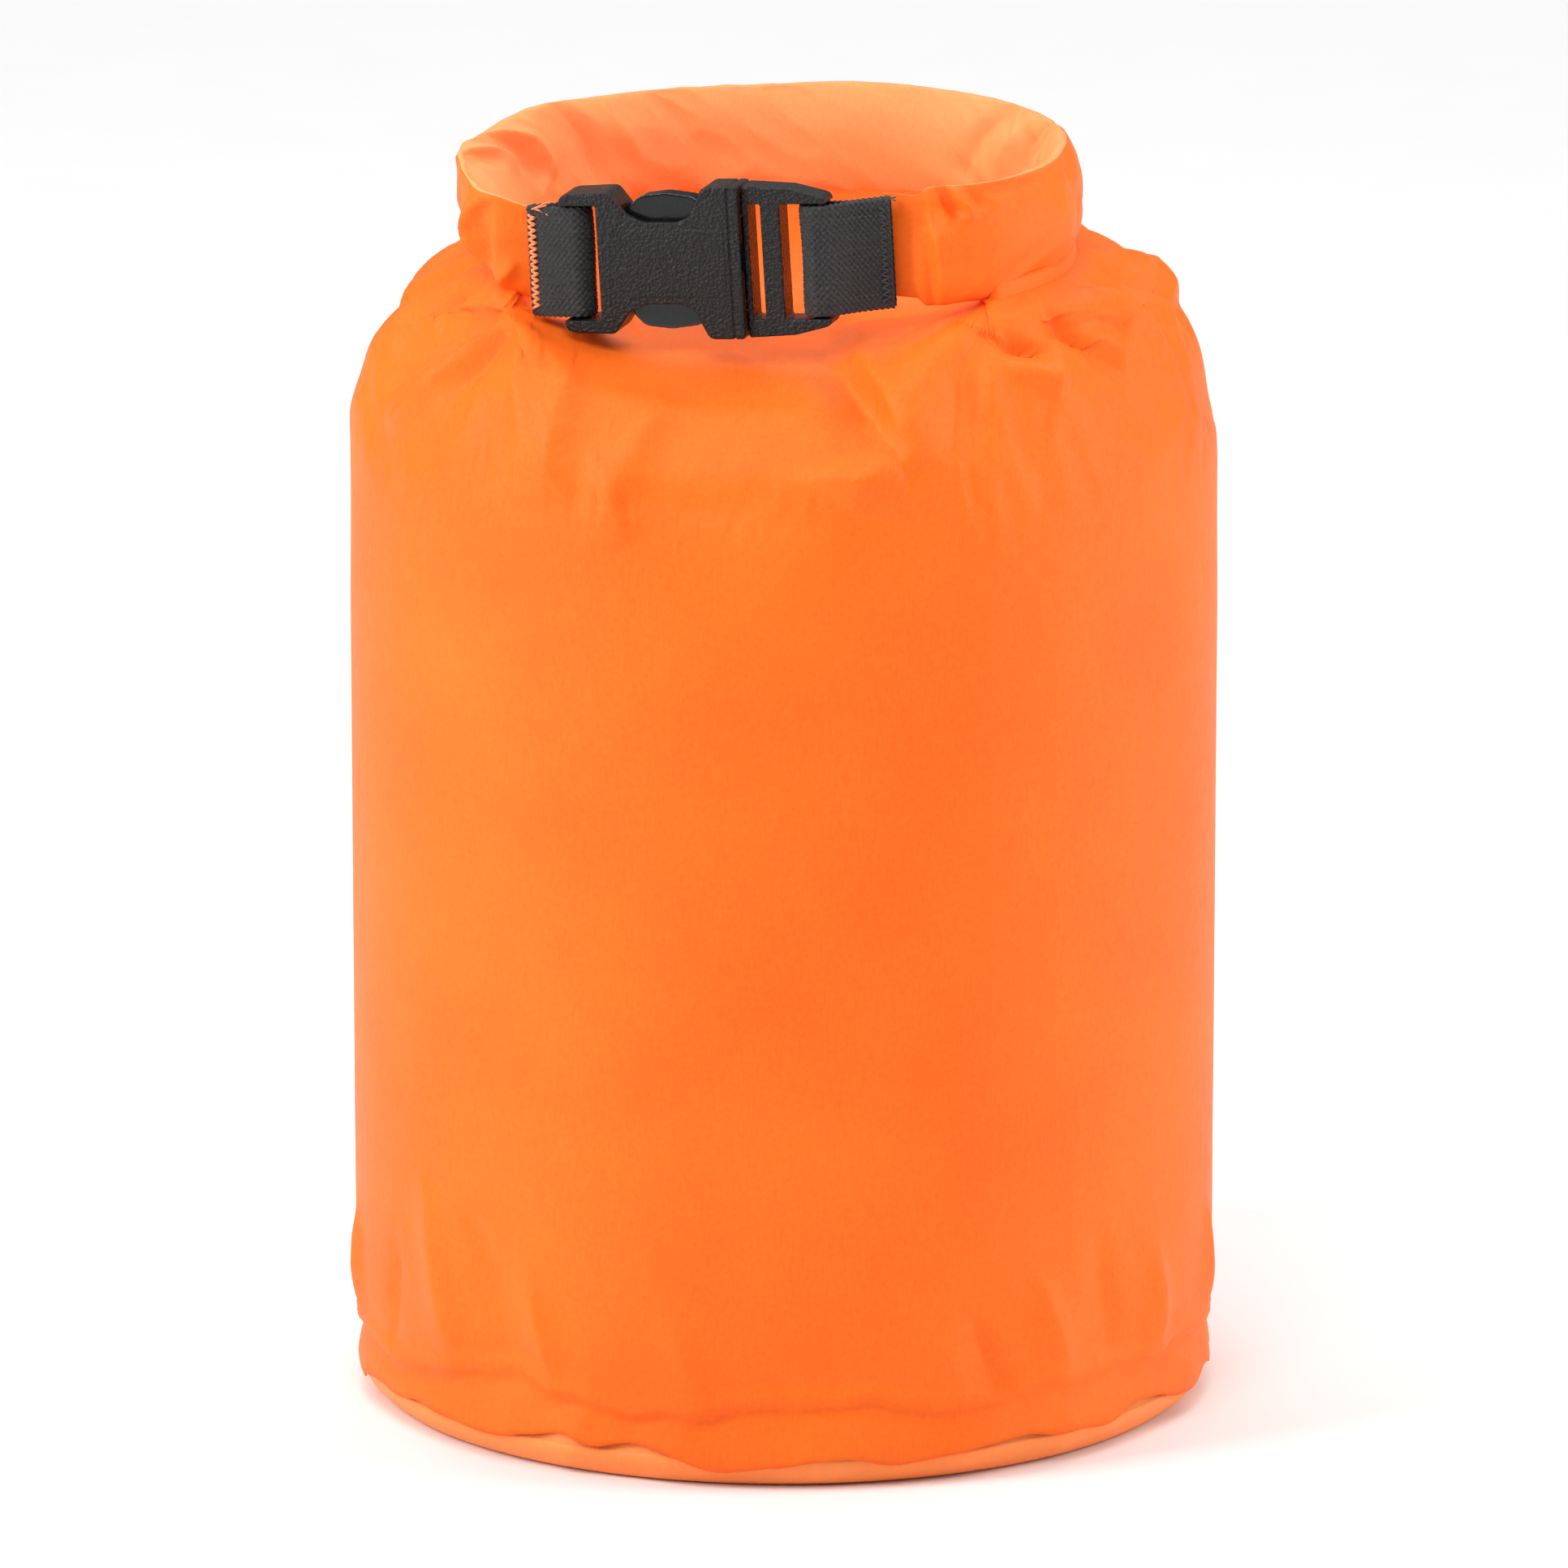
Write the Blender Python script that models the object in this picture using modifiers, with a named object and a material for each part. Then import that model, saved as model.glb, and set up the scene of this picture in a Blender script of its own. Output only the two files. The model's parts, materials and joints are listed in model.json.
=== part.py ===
"""Roll-top dry bag, closed: rolled mouth bent into a C and joined at the front by a side-release buckle.

Metres, +Z up. The bag stands on z = 0, its buckle side faces -Y, and the origin is under its middle.
The buckle is modelled in its own frame: X along the buckle away from the socket, Y through its
thickness, Z up its height, with the origin at the middle of the socket's mouth.
"""
import math

import bmesh
import bpy
from mathutils import Matrix, Vector

MM = 0.001
GAP = 0.3 * MM                      # clearance between pieces that touch

# Bag body
BODY_HALF_WIDTH = 79 * MM
BODY_HALF_DEPTH = 73 * MM
FABRIC_WALL = 1.2 * MM              # modelling thickness of one laminated fabric wall
TUBE_BOTTOM_Z = 7 * MM
TUBE_SHOULDER_Z = 196 * MM
NECK_HALF_SLOT = 3.2 * MM
NECK_TRIM = 0.035                   # the neck slot stops this share of the mouth's line before its ends
NECK_END_DROP = 4.5 * MM            # how far the neck dips under the mouth's two ends
NECK_END_SHARE = 0.06               # share of the mouth's line over which it dips
NECK_UNDER_ROLL = 0.7 * MM          # extra room between the neck's edge and the roll
LEFT_FOLD = math.radians(222)       # angles round the body where the mouth's two ends sit
RIGHT_FOLD = math.radians(-62)
FRONT_RISE = 7.2 * MM               # height that the shoulder reaches under the buckle
FRONT_FLAT_SHARE = 0.4              # share of the way in at which the front reaches that height
FRONT_CLIMB_POWER = 10              # how late the front then climbs to the roll
SIDE_CLIMB_POWER = 1.6              # how early the sides and the back climb
SHOULDER_INSET = 0.4 * MM
SHOULDER_STEPS = (0.0, 0.05, 0.14, 0.28, 0.44, 0.60, 0.76, 0.90, 1.0)
OUTER_COLUMNS = 42                  # columns of the tube behind and beside the mouth
INNER_COLUMNS = 28                  # columns in front, between the mouth's two ends
END_COLUMNS = 4                     # columns over which the front blends into the sides
BASE_CORNER_RADIUS = 6 * MM
BASE_RIM_Z = 14 * MM

# Rolled mouth: plan of its middle line, left end round the back to the right end
COLLAR_PLAN = [(-44.8, -36.5), (-50, -33), (-52.5, -22), (-52.5, -6), (-48.5, 9.5), (-38, 23),
               (-20.5, 33), (-1, 36.5), (18, 35), (34.5, 27.5), (45, 14.5), (49.3, -2),
               (49.3, -19), (45, -32.5), (36, -42.5), (24.5, -46.5)]
COLLAR_STATIONS = 46
OVAL_POINTS = 16
OVAL_POWER = 2.6
COLLAR_HALF_HEIGHT = 10.8 * MM
COLLAR_HALF_THICKNESS = 4.2 * MM
COLLAR_WALL = 2.2 * MM
COLLAR_SIDE_Z = 225.2 * MM          # middle height at the sides
COLLAR_BACK_RISE = 1.0 * MM
COLLAR_BACK_SPREAD = 0.2
COLLAR_END_DROP = 1.2 * MM
LEFT_LEAN = math.radians(15)        # how far the left side leans outwards
LEFT_LEAN_AT = (0.24, 0.16)         # share of the line where it leans most, and the lean's spread
RIGHT_LEAN = math.radians(3)
RIGHT_LEAN_AT = (0.78, 0.14)
STIFFENER_HALF_HEIGHT = 7.5 * MM
STIFFENER_HALF_THICKNESS = 0.35 * MM
STIFFENER_OFFSET = 0.75 * MM

# Buckle, in its own frame
BUCKLE_ORIGIN = (-6.5 * MM, -46 * MM, 221.8 * MM)
BUCKLE_YAW = math.radians(-16)
BUCKLE_ROLL = math.radians(3.5)
SOCKET_LENGTH = 33.5 * MM
SOCKET_HALF_THICKNESS = 4.2 * MM
THROAT_HALF_THICKNESS = 2.3 * MM
THROAT_HALF_HEIGHT = 12.5 * MM
THROAT_DEPTH = 22.3 * MM
SOCKET_BAR = 3.1 * MM               # width of the bar that holds the left strap
SOCKET_BAR_HALF_THICKNESS = 1.5 * MM
SOCKET_BAR_RECESS = 0.5 * MM        # how far the bar sits in from the housing's end
STRAP_WINDOW_END = 26.6 * MM        # distance from the mouth to the end of the strap window
STRAP_WINDOW_HALF = 10.4 * MM
PLUG_LENGTH = 15.8 * MM
PLUG_HALF_THICKNESS = 2.8 * MM
RAIL_INNER = 10.4 * MM
PLUG_BAR_1 = (3.6 * MM, 7.2 * MM)
PLUG_BAR_2 = (12.3 * MM, 14.3 * MM)
PLUG_BAR_2_HALF_THICKNESS = 1.2 * MM
PLUG_CROSSBAR_END = 1.3 * MM
GUIDE_LENGTH = 14 * MM
GUIDE_HALF_HEIGHT = 2.2 * MM
PRONG_PIVOT = (-1.6 * MM, 8.6 * MM)
PRONG_ROOT_RADIUS = 1.5 * MM
PRONG_HALF_THICKNESS = 1.9 * MM
PRONG_ROOT_STEPS = 8
CUT_REACH = 6 * MM                  # half thickness of the solids that cut right through
CUT_MARGIN = 1 * MM

# Upper halves of the buckle's outlines: x, z and corner radius in mm
SOCKET_OUTLINE = [(0, 13.8, 0.6), (-6.6, 13.8, 1.6), (-9.3, 8.35, 1.6), (-11.6, 7.45, 1.8),
                  (-17.6, 7.45, 2.2), (-21.2, 8.85, 2.0), (-24.2, 12.9, 1.6), (-33.5, 12.5, 2.0)]
PLUG_OUTLINE = [(15.8, 11.6, 1.6), (9, 13.3, 3), (0.3, 13.8, 0.5)]
# Upper prong from its root to its tip and back, relative to its pivot
PRONG_OUTLINE = [(-5.4, 1.7, 2), (-7.6, 3.1, 2), (-12.5, 3.75, 6), (-17.5, 3.2, 3), (-19.8, 0.8, 1.8),
                 (-19.3, -2.4, 1.4), (-12, -2.2, 3), (-5, -1.6, 3)]

# Webbing and its bartacks
WEBBING_HALF_WIDTH = 10 * MM
WEBBING_THICKNESS = 1.2 * MM
LOOP_STEPS = 8
LEFT_LOOP_HALF = 1.75 * MM          # half height inside the left strap's loop round its bar
RIGHT_LOOP_HALF = 1.55 * MM
# Lines of the straps' layers in mm, each towards its bar: x, y
LEFT_STRAP_FRONT = [(-37.5, -1.65), (-36.2, -1.85)]
LEFT_STRAP_BACK = [(-37.5, -0.15), (-36.2, 0.85)]
RIGHT_STRAP_FRONT = [(28.9, 6.45), (25.8, 5.45), (22.3, 3.45), (19.3, 1.45), (16.0, -1.5)]
RIGHT_STRAP_BACK = [(28.3, 7.95), (25.2, 6.95), (21.7, 4.95), (18.7, 2.95), (16.0, 2.4)]
BARTACK_TURNS = 11
BARTACK_WIDTH = 1.6 * MM
BARTACK_RADIUS = 0.28 * MM
BARTACK_EDGE = 1.2 * MM             # distance from its ends to the webbing's edges
BARTACK_LEFT = (-36.4 * MM, -2.45 * MM, 0)
BARTACK_RIGHT = (27.6 * MM, 5.35 * MM, 0)
BARTACK_RIGHT_SLOPE = (3.1, 1.4, 0)

ORANGE = (1.0, 0.19, 0.02, 1)
ORANGE_LIGHT = (1.0, 0.27, 0.05, 1)
BLACK = (0.012, 0.012, 0.013, 1)
WHITE = (0.75, 0.75, 0.72, 1)


# ---------------------------------------------------------------- scene and small tools

def clear_scene():
    for obj in list(bpy.data.objects):
        bpy.data.objects.remove(obj, do_unlink=True)


def new_collection(name):
    collection = bpy.data.collections.new(name)
    bpy.context.scene.collection.children.link(collection)
    return collection


def material(name, colour, roughness):
    mat = bpy.data.materials.new(name)
    mat.use_nodes = True
    shader = mat.node_tree.nodes["Principled BSDF"]
    shader.inputs["Base Color"].default_value = colour
    shader.inputs["Roughness"].default_value = roughness
    shader.inputs["Metallic"].default_value = 0.0
    return mat


def add_object(name, mesh, collection, mat=None, parent=None):
    obj = bpy.data.objects.new(name, mesh)
    collection.objects.link(obj)
    obj.parent = parent
    if mat is not None:
        mesh.materials.clear()
        mesh.materials.append(mat)
    return obj


def shade_smooth(mesh, angle=35):
    mesh.shade_smooth()
    mesh.set_sharp_from_angle(angle=math.radians(angle))


def mesh_from_curve(curve_obj):
    """Turns a curve object into a welded mesh in the curve's own frame and removes the curve."""
    bpy.context.view_layer.update()
    evaluated = curve_obj.evaluated_get(bpy.context.evaluated_depsgraph_get())
    mesh = bpy.data.meshes.new_from_object(evaluated)
    bm = bmesh.new()
    bm.from_mesh(mesh)
    bmesh.ops.remove_doubles(bm, verts=bm.verts, dist=1e-6)
    bm.to_mesh(mesh)
    bm.free()
    bpy.data.objects.remove(curve_obj, do_unlink=True)
    return mesh


def rounded_outline(corners, steps=3):
    """Points of a closed outline whose corners (x, y, radius) in mm are filleted by arcs."""
    corners = [tuple(value * MM for value in corner) for corner in corners]
    points = []
    count = len(corners)
    for i, (x, y, radius) in enumerate(corners):
        here = Vector((x, y))
        before = Vector(corners[i - 1][:2]) - here
        after = Vector(corners[(i + 1) % count][:2]) - here
        angle = before.angle(after)
        reach = min(radius / math.tan(angle / 2), 0.48 * before.length, 0.48 * after.length)
        start, end = here + before.normalized() * reach, here + after.normalized() * reach
        for k in range(steps + 1):
            t = k / steps
            points.append(start * (1 - t) ** 2 + here * 2 * t * (1 - t) + end * t ** 2)
    return points


def extruded_outline(name, points, half_thickness, upright=True):
    """Mesh of a flat outline in X and Z extruded both ways along Y, or in X and Y extruded along Z."""
    curve = bpy.data.curves.new(name, "CURVE")
    curve.dimensions = "2D"
    curve.fill_mode = "BOTH"
    curve.extrude = half_thickness
    spline = curve.splines.new("POLY")
    spline.points.add(len(points) - 1)
    for point, (x, z) in zip(spline.points, points):
        point.co = (x, z, 0, 1)
    spline.use_cyclic_u = True
    obj = bpy.data.objects.new(name, curve)
    bpy.context.scene.collection.objects.link(obj)
    mesh = mesh_from_curve(obj)
    if upright:
        mesh.transform(Matrix.Rotation(math.radians(90), 4, "X"))
    return mesh


def box_mesh(name, low, high):
    mesh = bpy.data.meshes.new(name)
    bm = bmesh.new()
    bmesh.ops.create_cube(bm, size=1)
    low, high = Vector(low), Vector(high)
    size = high - low
    bmesh.ops.scale(bm, vec=size, verts=bm.verts)
    bmesh.ops.translate(bm, vec=(low + high) / 2, verts=bm.verts)
    bm.to_mesh(mesh)
    bm.free()
    return mesh


def cutter(name, low, high, collection, parent):
    obj = add_object(name, box_mesh(name, low, high), collection, parent=parent)
    obj.hide_render = True
    obj.display_type = "WIRE"
    return obj


def boolean(obj, other, operation="DIFFERENCE"):
    mod = obj.modifiers.new(other.name, "BOOLEAN")
    mod.operation = operation
    mod.solver = "EXACT"
    mod.object = other


def bevel(obj, width, segments=2, angle=35):
    mod = obj.modifiers.new("rounded_edges", "BEVEL")
    mod.width = width
    mod.segments = segments
    mod.limit_method = "ANGLE"
    mod.angle_limit = math.radians(angle)


def loft(name, rings, closed_ends):
    """Quads between successive rings of points; with closed_ends the two end rings become faces."""
    bm = bmesh.new()
    grid = [[bm.verts.new(p) for p in ring] for ring in rings]
    count = len(grid[0])
    for lower, upper in zip(grid, grid[1:]):
        for j in range(count):
            bm.faces.new((lower[j], lower[(j + 1) % count], upper[(j + 1) % count], upper[j]))
    if closed_ends:
        bm.faces.new(list(reversed(grid[0])))
        bm.faces.new(grid[-1])
    bmesh.ops.recalc_face_normals(bm, faces=bm.faces)
    mesh = bpy.data.meshes.new(name)
    bm.to_mesh(mesh)
    bm.free()
    return mesh


# ---------------------------------------------------------------- the rolled mouth's line

def spline_point(points, t):
    """Point at t (0 to 1) of a Catmull-Rom curve through the points."""
    spans = len(points) - 1
    index = min(int(t * spans), spans - 1)
    u = t * spans - index
    get = lambda k: Vector(points[max(0, min(spans, k))])
    p0, p1, p2, p3 = (get(index + k) for k in (-1, 0, 1, 2))
    if index == 0:
        p0 = p1 * 2 - p2
    if index == spans - 1:
        p3 = p2 * 2 - p1
    return 0.5 * (2 * p1 + (p2 - p0) * u + (2 * p0 - 5 * p1 + 4 * p2 - p3) * u ** 2
                  + (3 * p1 - p0 - 3 * p2 + p3) * u ** 3)


def collar_line(count, trim=0.0):
    """(point, tangent) pairs in plan, evenly spaced along the rolled mouth's middle line."""
    samples = [spline_point(COLLAR_PLAN, k / 600) * MM for k in range(601)]
    lengths = [0.0]
    for a, b in zip(samples, samples[1:]):
        lengths.append(lengths[-1] + (b - a).length)
    line = []
    k = 0
    for i in range(count):
        target = lengths[-1] * (trim + (1 - 2 * trim) * i / (count - 1))
        while k < len(samples) - 2 and lengths[k + 1] < target:
            k += 1
        share = (target - lengths[k]) / (lengths[k + 1] - lengths[k])
        tangent = (samples[k + 1] - samples[k]).normalized()
        line.append((samples[k].lerp(samples[k + 1], share), tangent))
    return line


def outward(tangent):
    """The side of the line that faces away from the middle of the bag."""
    return Vector((-tangent.y, tangent.x))


def bell(t, middle, spread):
    return math.exp(-((t - middle) / spread) ** 2)


def lean_at(t):
    """Outward lean of the rolled mouth: most at the left side, little at the right, none at the ends."""
    return LEFT_LEAN * bell(t, *LEFT_LEAN_AT) + RIGHT_LEAN * bell(t, *RIGHT_LEAN_AT)


def height_at(t):
    rise = COLLAR_BACK_RISE * bell(t, 0.5, COLLAR_BACK_SPREAD)
    return COLLAR_SIDE_Z + rise - COLLAR_END_DROP * abs(2 * t - 1) ** 6


def swept_section(section, offset=0.0):
    """Rings of a section (across, up) swept along the rolled mouth's line."""
    rings = []
    for i, (point, tangent) in enumerate(collar_line(COLLAR_STATIONS)):
        t = i / (COLLAR_STATIONS - 1)
        out = outward(tangent)
        lean = lean_at(t)
        across_axis = Vector((out.x * math.cos(lean), out.y * math.cos(lean), -math.sin(lean)))
        up_axis = Vector((out.x * math.sin(lean), out.y * math.sin(lean), math.cos(lean)))
        middle = Vector((point.x, point.y, height_at(t)))
        rings.append([middle + across_axis * (across + offset) + up_axis * up for across, up in section])
    return rings


def flat_oval(half_thickness, half_height):
    """Points of a rounded section whose sides are flatter than an ellipse's."""
    points = []
    for k in range(OVAL_POINTS):
        a = 2 * math.pi * k / OVAL_POINTS
        c, s = math.cos(a), math.sin(a)
        points.append((half_thickness * math.copysign(abs(c) ** (2 / OVAL_POWER), c),
                       half_height * math.copysign(abs(s) ** (2 / OVAL_POWER), s)))
    return points


# ---------------------------------------------------------------- fabric parts

def neck_side(count, side):
    """One long side of the neck slot, just under the rolled mouth; side is 1 outside, -1 inside."""
    points = []
    for i, (point, tangent) in enumerate(collar_line(count, NECK_TRIM)):
        t = NECK_TRIM + (1 - 2 * NECK_TRIM) * i / (count - 1)
        lean = lean_at(t)
        xy = point + outward(tangent) * (side * NECK_HALF_SLOT - math.sin(lean) * COLLAR_HALF_HEIGHT)
        end_drop = NECK_END_DROP * bell(min(t, 1 - t), 0, NECK_END_SHARE)
        z = height_at(t) - COLLAR_HALF_HEIGHT - GAP - NECK_UNDER_ROLL - end_drop
        points.append(Vector((xy.x, xy.y, z)))
    return points


def neck_outline():
    """Closed outline of the neck slot: outer side, left end to right end, then the inner side back."""
    outer = neck_side(OUTER_COLUMNS, 1)
    inner = list(reversed(neck_side(INNER_COLUMNS, -1)))
    right_cap = neck_cap(outer[-1], inner[0], outer[-2])
    left_cap = neck_cap(outer[0], inner[-1], outer[1])
    return outer + [right_cap] + inner + [left_cap]


def neck_cap(a, b, behind):
    """Point that rounds off the slot's end between its two sides."""
    middle = (a + b) / 2
    return middle + (a - behind).normalized() * NECK_HALF_SLOT * 0.9


def body_angles():
    """Angles round the body that go with the neck outline's points."""
    front_span = 2 * math.pi + RIGHT_FOLD - LEFT_FOLD
    step = front_span / (INNER_COLUMNS + 1)
    outer_span = 2 * math.pi - front_span - 2 * step
    outer = [LEFT_FOLD - step - outer_span * i / (OUTER_COLUMNS - 1) for i in range(OUTER_COLUMNS)]
    inner = [LEFT_FOLD + step * (INNER_COLUMNS - i) for i in range(INNER_COLUMNS)]
    return outer + [RIGHT_FOLD] + inner + [LEFT_FOLD]


def body_ring(angles, half_width, half_depth, z):
    return [Vector((half_width * math.cos(a), half_depth * math.sin(a), z)) for a in angles]


def shoulder_z(s, j, neck_z, count):
    """Height of column j at s, from the body's wall (0) to the neck (1).

    Behind the mouth's ends the fabric climbs straight to the roll. In front it stays low under the
    buckle and climbs close to the roll.
    """
    climb = neck_z - TUBE_SHOULDER_Z
    side = climb * (1 - (1 - s) ** SIDE_CLIMB_POWER)
    if j < OUTER_COLUMNS:
        return TUBE_SHOULDER_Z + side
    front = FRONT_RISE * math.sin(min(1, s / FRONT_FLAT_SHARE) * math.pi / 2)
    front += (climb - FRONT_RISE) * s ** FRONT_CLIMB_POWER
    near_end = 1 - min(1.0, min(j - OUTER_COLUMNS, count - 1 - j) / END_COLUMNS)
    return TUBE_SHOULDER_Z + front + (side - front) * near_end * s ** 4


def body_rings():
    """The fabric tube from its lower hem to the slot under the rolled mouth."""
    angles = body_angles()
    neck = neck_outline()
    count = len(neck)
    heights = (TUBE_BOTTOM_Z, TUBE_BOTTOM_Z + 5 * MM, 0.5 * TUBE_SHOULDER_Z, TUBE_SHOULDER_Z - 9 * MM)
    rings = [body_ring(angles, BODY_HALF_WIDTH, BODY_HALF_DEPTH, z) for z in heights]
    inset_width, inset_depth = BODY_HALF_WIDTH - SHOULDER_INSET, BODY_HALF_DEPTH - SHOULDER_INSET
    start = body_ring(angles, inset_width, inset_depth, TUBE_SHOULDER_Z)
    for s in SHOULDER_STEPS:
        ring = []
        for j in range(count):
            z = shoulder_z(s, j, neck[j].z, count)
            xy = start[j].xy.lerp(neck[j].xy, s)
            ring.append(Vector((xy.x, xy.y, z)))
        rings.append(ring)
    return rings


def build_body_tube(collection, mat):
    obj = add_object("body_tube", loft("body_tube", body_rings(), False), collection, mat)
    wall = obj.modifiers.new("fabric_wall", "SOLIDIFY")
    wall.thickness = FABRIC_WALL
    wall.offset = -1
    shade_smooth(obj.data)
    return obj


def build_base_panel(collection, mat):
    """Turned cup: flat floor, rounded corner and a rim welded inside the tube's lower edge."""
    radius = BODY_HALF_WIDTH - FABRIC_WALL - GAP
    corner = BASE_CORNER_RADIUS
    profile = [(radius, BASE_RIM_Z)]
    for k in range(5):
        a = math.radians(90 * k / 4)
        profile.append((radius - corner + corner * math.cos(a), corner - corner * math.sin(a)))
    profile += [(radius * 0.5, 0), (0, 0)]
    mesh = bpy.data.meshes.new("base_panel")
    bm = bmesh.new()
    verts = [bm.verts.new((r, 0, z)) for r, z in profile]
    for a, b in zip(verts, verts[1:]):
        bm.edges.new((a, b))
    bm.to_mesh(mesh)
    bm.free()
    turned = add_object("base_panel_turned", mesh, collection)
    screw = turned.modifiers.new("turn", "SCREW")
    screw.axis = "Z"
    screw.steps = screw.render_steps = 56
    screw.use_merge_vertices = True
    screw.merge_threshold = 1e-5
    bpy.context.view_layer.update()
    turned_mesh = bpy.data.meshes.new_from_object(turned.evaluated_get(bpy.context.evaluated_depsgraph_get()))
    bpy.data.objects.remove(turned, do_unlink=True)
    depth = (BODY_HALF_DEPTH - FABRIC_WALL - GAP) / radius
    turned_mesh.transform(Matrix.Diagonal((1, depth, 1, 1)))
    obj = add_object("base_panel", turned_mesh, collection, mat)
    wall = obj.modifiers.new("fabric_wall", "SOLIDIFY")
    wall.thickness = FABRIC_WALL
    wall.offset = -1
    shade_smooth(obj.data)
    return obj


def build_roll_collar(collection, mat):
    """Rolled mouth: a flat oval tube, open at both ends, round a narrow core."""
    outer = swept_section(flat_oval(COLLAR_HALF_THICKNESS, COLLAR_HALF_HEIGHT))
    inner = swept_section(flat_oval(COLLAR_HALF_THICKNESS - COLLAR_WALL, COLLAR_HALF_HEIGHT - COLLAR_WALL))
    mesh = loft("roll_collar", outer + list(reversed(inner)) + [outer[0]], False)
    bm = bmesh.new()
    bm.from_mesh(mesh)
    bmesh.ops.remove_doubles(bm, verts=bm.verts, dist=1e-6)
    bmesh.ops.recalc_face_normals(bm, faces=bm.faces)
    bm.to_mesh(mesh)
    bm.free()
    shade_smooth(mesh)
    return add_object("roll_collar", mesh, collection, mat)


def build_stiffeners(collection, mat):
    h, v = STIFFENER_HALF_THICKNESS, STIFFENER_HALF_HEIGHT
    section = [(h, -v), (h, v), (-h, v), (-h, -v)]
    for name, side in (("stiffener_front", -1), ("stiffener_back", 1)):
        rings = swept_section(section, offset=side * STIFFENER_OFFSET)
        add_object(name, loft(name, rings, True), collection, mat)


# ---------------------------------------------------------------- buckle

def half_turn(radius, steps):
    """Points of a half circle round the origin, from below it through the right to above it."""
    angles = [math.radians(-90 + 180 * k / steps) for k in range(steps + 1)]
    return [Vector((radius * math.cos(a), radius * math.sin(a))) for a in angles]


def mirrored(points):
    """Adds the lower half of an outline to its upper half, which runs from right to left."""
    return points + [(x, -z, r) for x, z, r in reversed(points)]


def build_socket(collection, cutters, frame, mat):
    """Socket half: a hollow housing with a notch on each side and a bar for the left strap."""
    outline = rounded_outline(mirrored(SOCKET_OUTLINE))
    body = extruded_outline("female_housing", outline, SOCKET_HALF_THICKNESS)
    obj = add_object("female_housing", body, collection, mat, frame)
    t, w = THROAT_HALF_THICKNESS, THROAT_HALF_HEIGHT
    boolean(obj, cutter("throat_cutter", (-THROAT_DEPTH, -t, -w), (2 * CUT_MARGIN, t, w), cutters, frame))
    outside = -SOCKET_LENGTH - CUT_MARGIN
    bar_end = -SOCKET_LENGTH + SOCKET_BAR
    recess = -SOCKET_LENGTH + SOCKET_BAR_RECESS
    bar, reach = SOCKET_BAR_HALF_THICKNESS, CUT_REACH
    cuts = (("strap_window_cutter", (bar_end, -STRAP_WINDOW_END), (-reach, reach)),
            ("bar_front_cutter", (outside, bar_end + CUT_MARGIN), (-reach, -bar)),
            ("bar_back_cutter", (outside, bar_end + CUT_MARGIN), (bar, reach)),
            ("bar_side_cutter", (outside, recess), (-reach, reach)))
    for name, (x0, x1), (y0, y1) in cuts:
        low, high = (x0, y0, -STRAP_WINDOW_HALF), (x1, y1, STRAP_WINDOW_HALF)
        boolean(obj, cutter(name, low, high, cutters, frame))
    bevel(obj, 0.45 * MM)
    shade_smooth(body)
    return obj


def build_plug(collection, cutters, frame, mat):
    """Plug half: frame with two cross bars, and the guide tongue between the prongs."""
    outline = rounded_outline(mirrored(PLUG_OUTLINE))
    body = extruded_outline("male_frame", outline, PLUG_HALF_THICKNESS)
    obj = add_object("male_frame", body, collection, mat, frame)
    guide = cutter("guide_tool", (-GUIDE_LENGTH, -PRONG_HALF_THICKNESS, -GUIDE_HALF_HEIGHT),
                   (PLUG_CROSSBAR_END - 0.2 * MM, PRONG_HALF_THICKNESS, GUIDE_HALF_HEIGHT), cutters, frame)
    boolean(obj, guide, "UNION")
    windows = ((PLUG_CROSSBAR_END, PLUG_BAR_1[0]), (PLUG_BAR_1[1], PLUG_BAR_2[0]),
               (PLUG_BAR_2[1], PLUG_LENGTH + 2 * CUT_MARGIN))
    for k, (start, stop) in enumerate(windows):
        low, high = (start, -CUT_REACH, -RAIL_INNER), (stop, CUT_REACH, RAIL_INNER)
        boolean(obj, cutter("window_cutter_%d" % k, low, high, cutters, frame))
    for k, side in enumerate((-1, 1)):
        near, far = sorted((side * PLUG_BAR_2_HALF_THICKNESS, side * CUT_REACH))
        low = (PLUG_BAR_2[0] - CUT_MARGIN, near, -RAIL_INNER)
        high = (PLUG_BAR_2[1] + CUT_MARGIN, far, RAIL_INNER)
        boolean(obj, cutter("bar_cutter_%d" % k, low, high, cutters, frame))
    bevel(obj, 0.4 * MM)
    shade_smooth(body)
    return obj


def prong_outline():
    """Upper prong from its round root to its tip, relative to the pivot."""
    return half_turn(PRONG_ROOT_RADIUS, PRONG_ROOT_STEPS) + rounded_outline(PRONG_OUTLINE)


def build_prongs(collection, frame, mat):
    outline = prong_outline()
    for name, side in (("prong_upper", 1), ("prong_lower", -1)):
        points = [(x, side * z) for x, z in outline]
        mesh = extruded_outline(name, points, PRONG_HALF_THICKNESS)
        pivot = bpy.data.objects.new(name + "_pivot", None)
        collection.objects.link(pivot)
        pivot.parent = frame
        pivot.location = (PRONG_PIVOT[0], 0, side * PRONG_PIVOT[1])
        obj = add_object(name, mesh, collection, mat, pivot)
        bevel(obj, 0.5 * MM, 2, 50)
        shade_smooth(mesh)


# ---------------------------------------------------------------- webbing

def offset_band(line, thickness):
    """Closed outline of a band of the given thickness round an open line of (x, y) points."""
    left, right = [], []
    for i, point in enumerate(line):
        before, after = line[max(0, i - 1)], line[min(len(line) - 1, i + 1)]
        along = (after - before).normalized()
        side = Vector((-along.y, along.x)) * thickness / 2
        left.append(point + side)
        right.append(point - side)
    return left + list(reversed(right))


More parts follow.
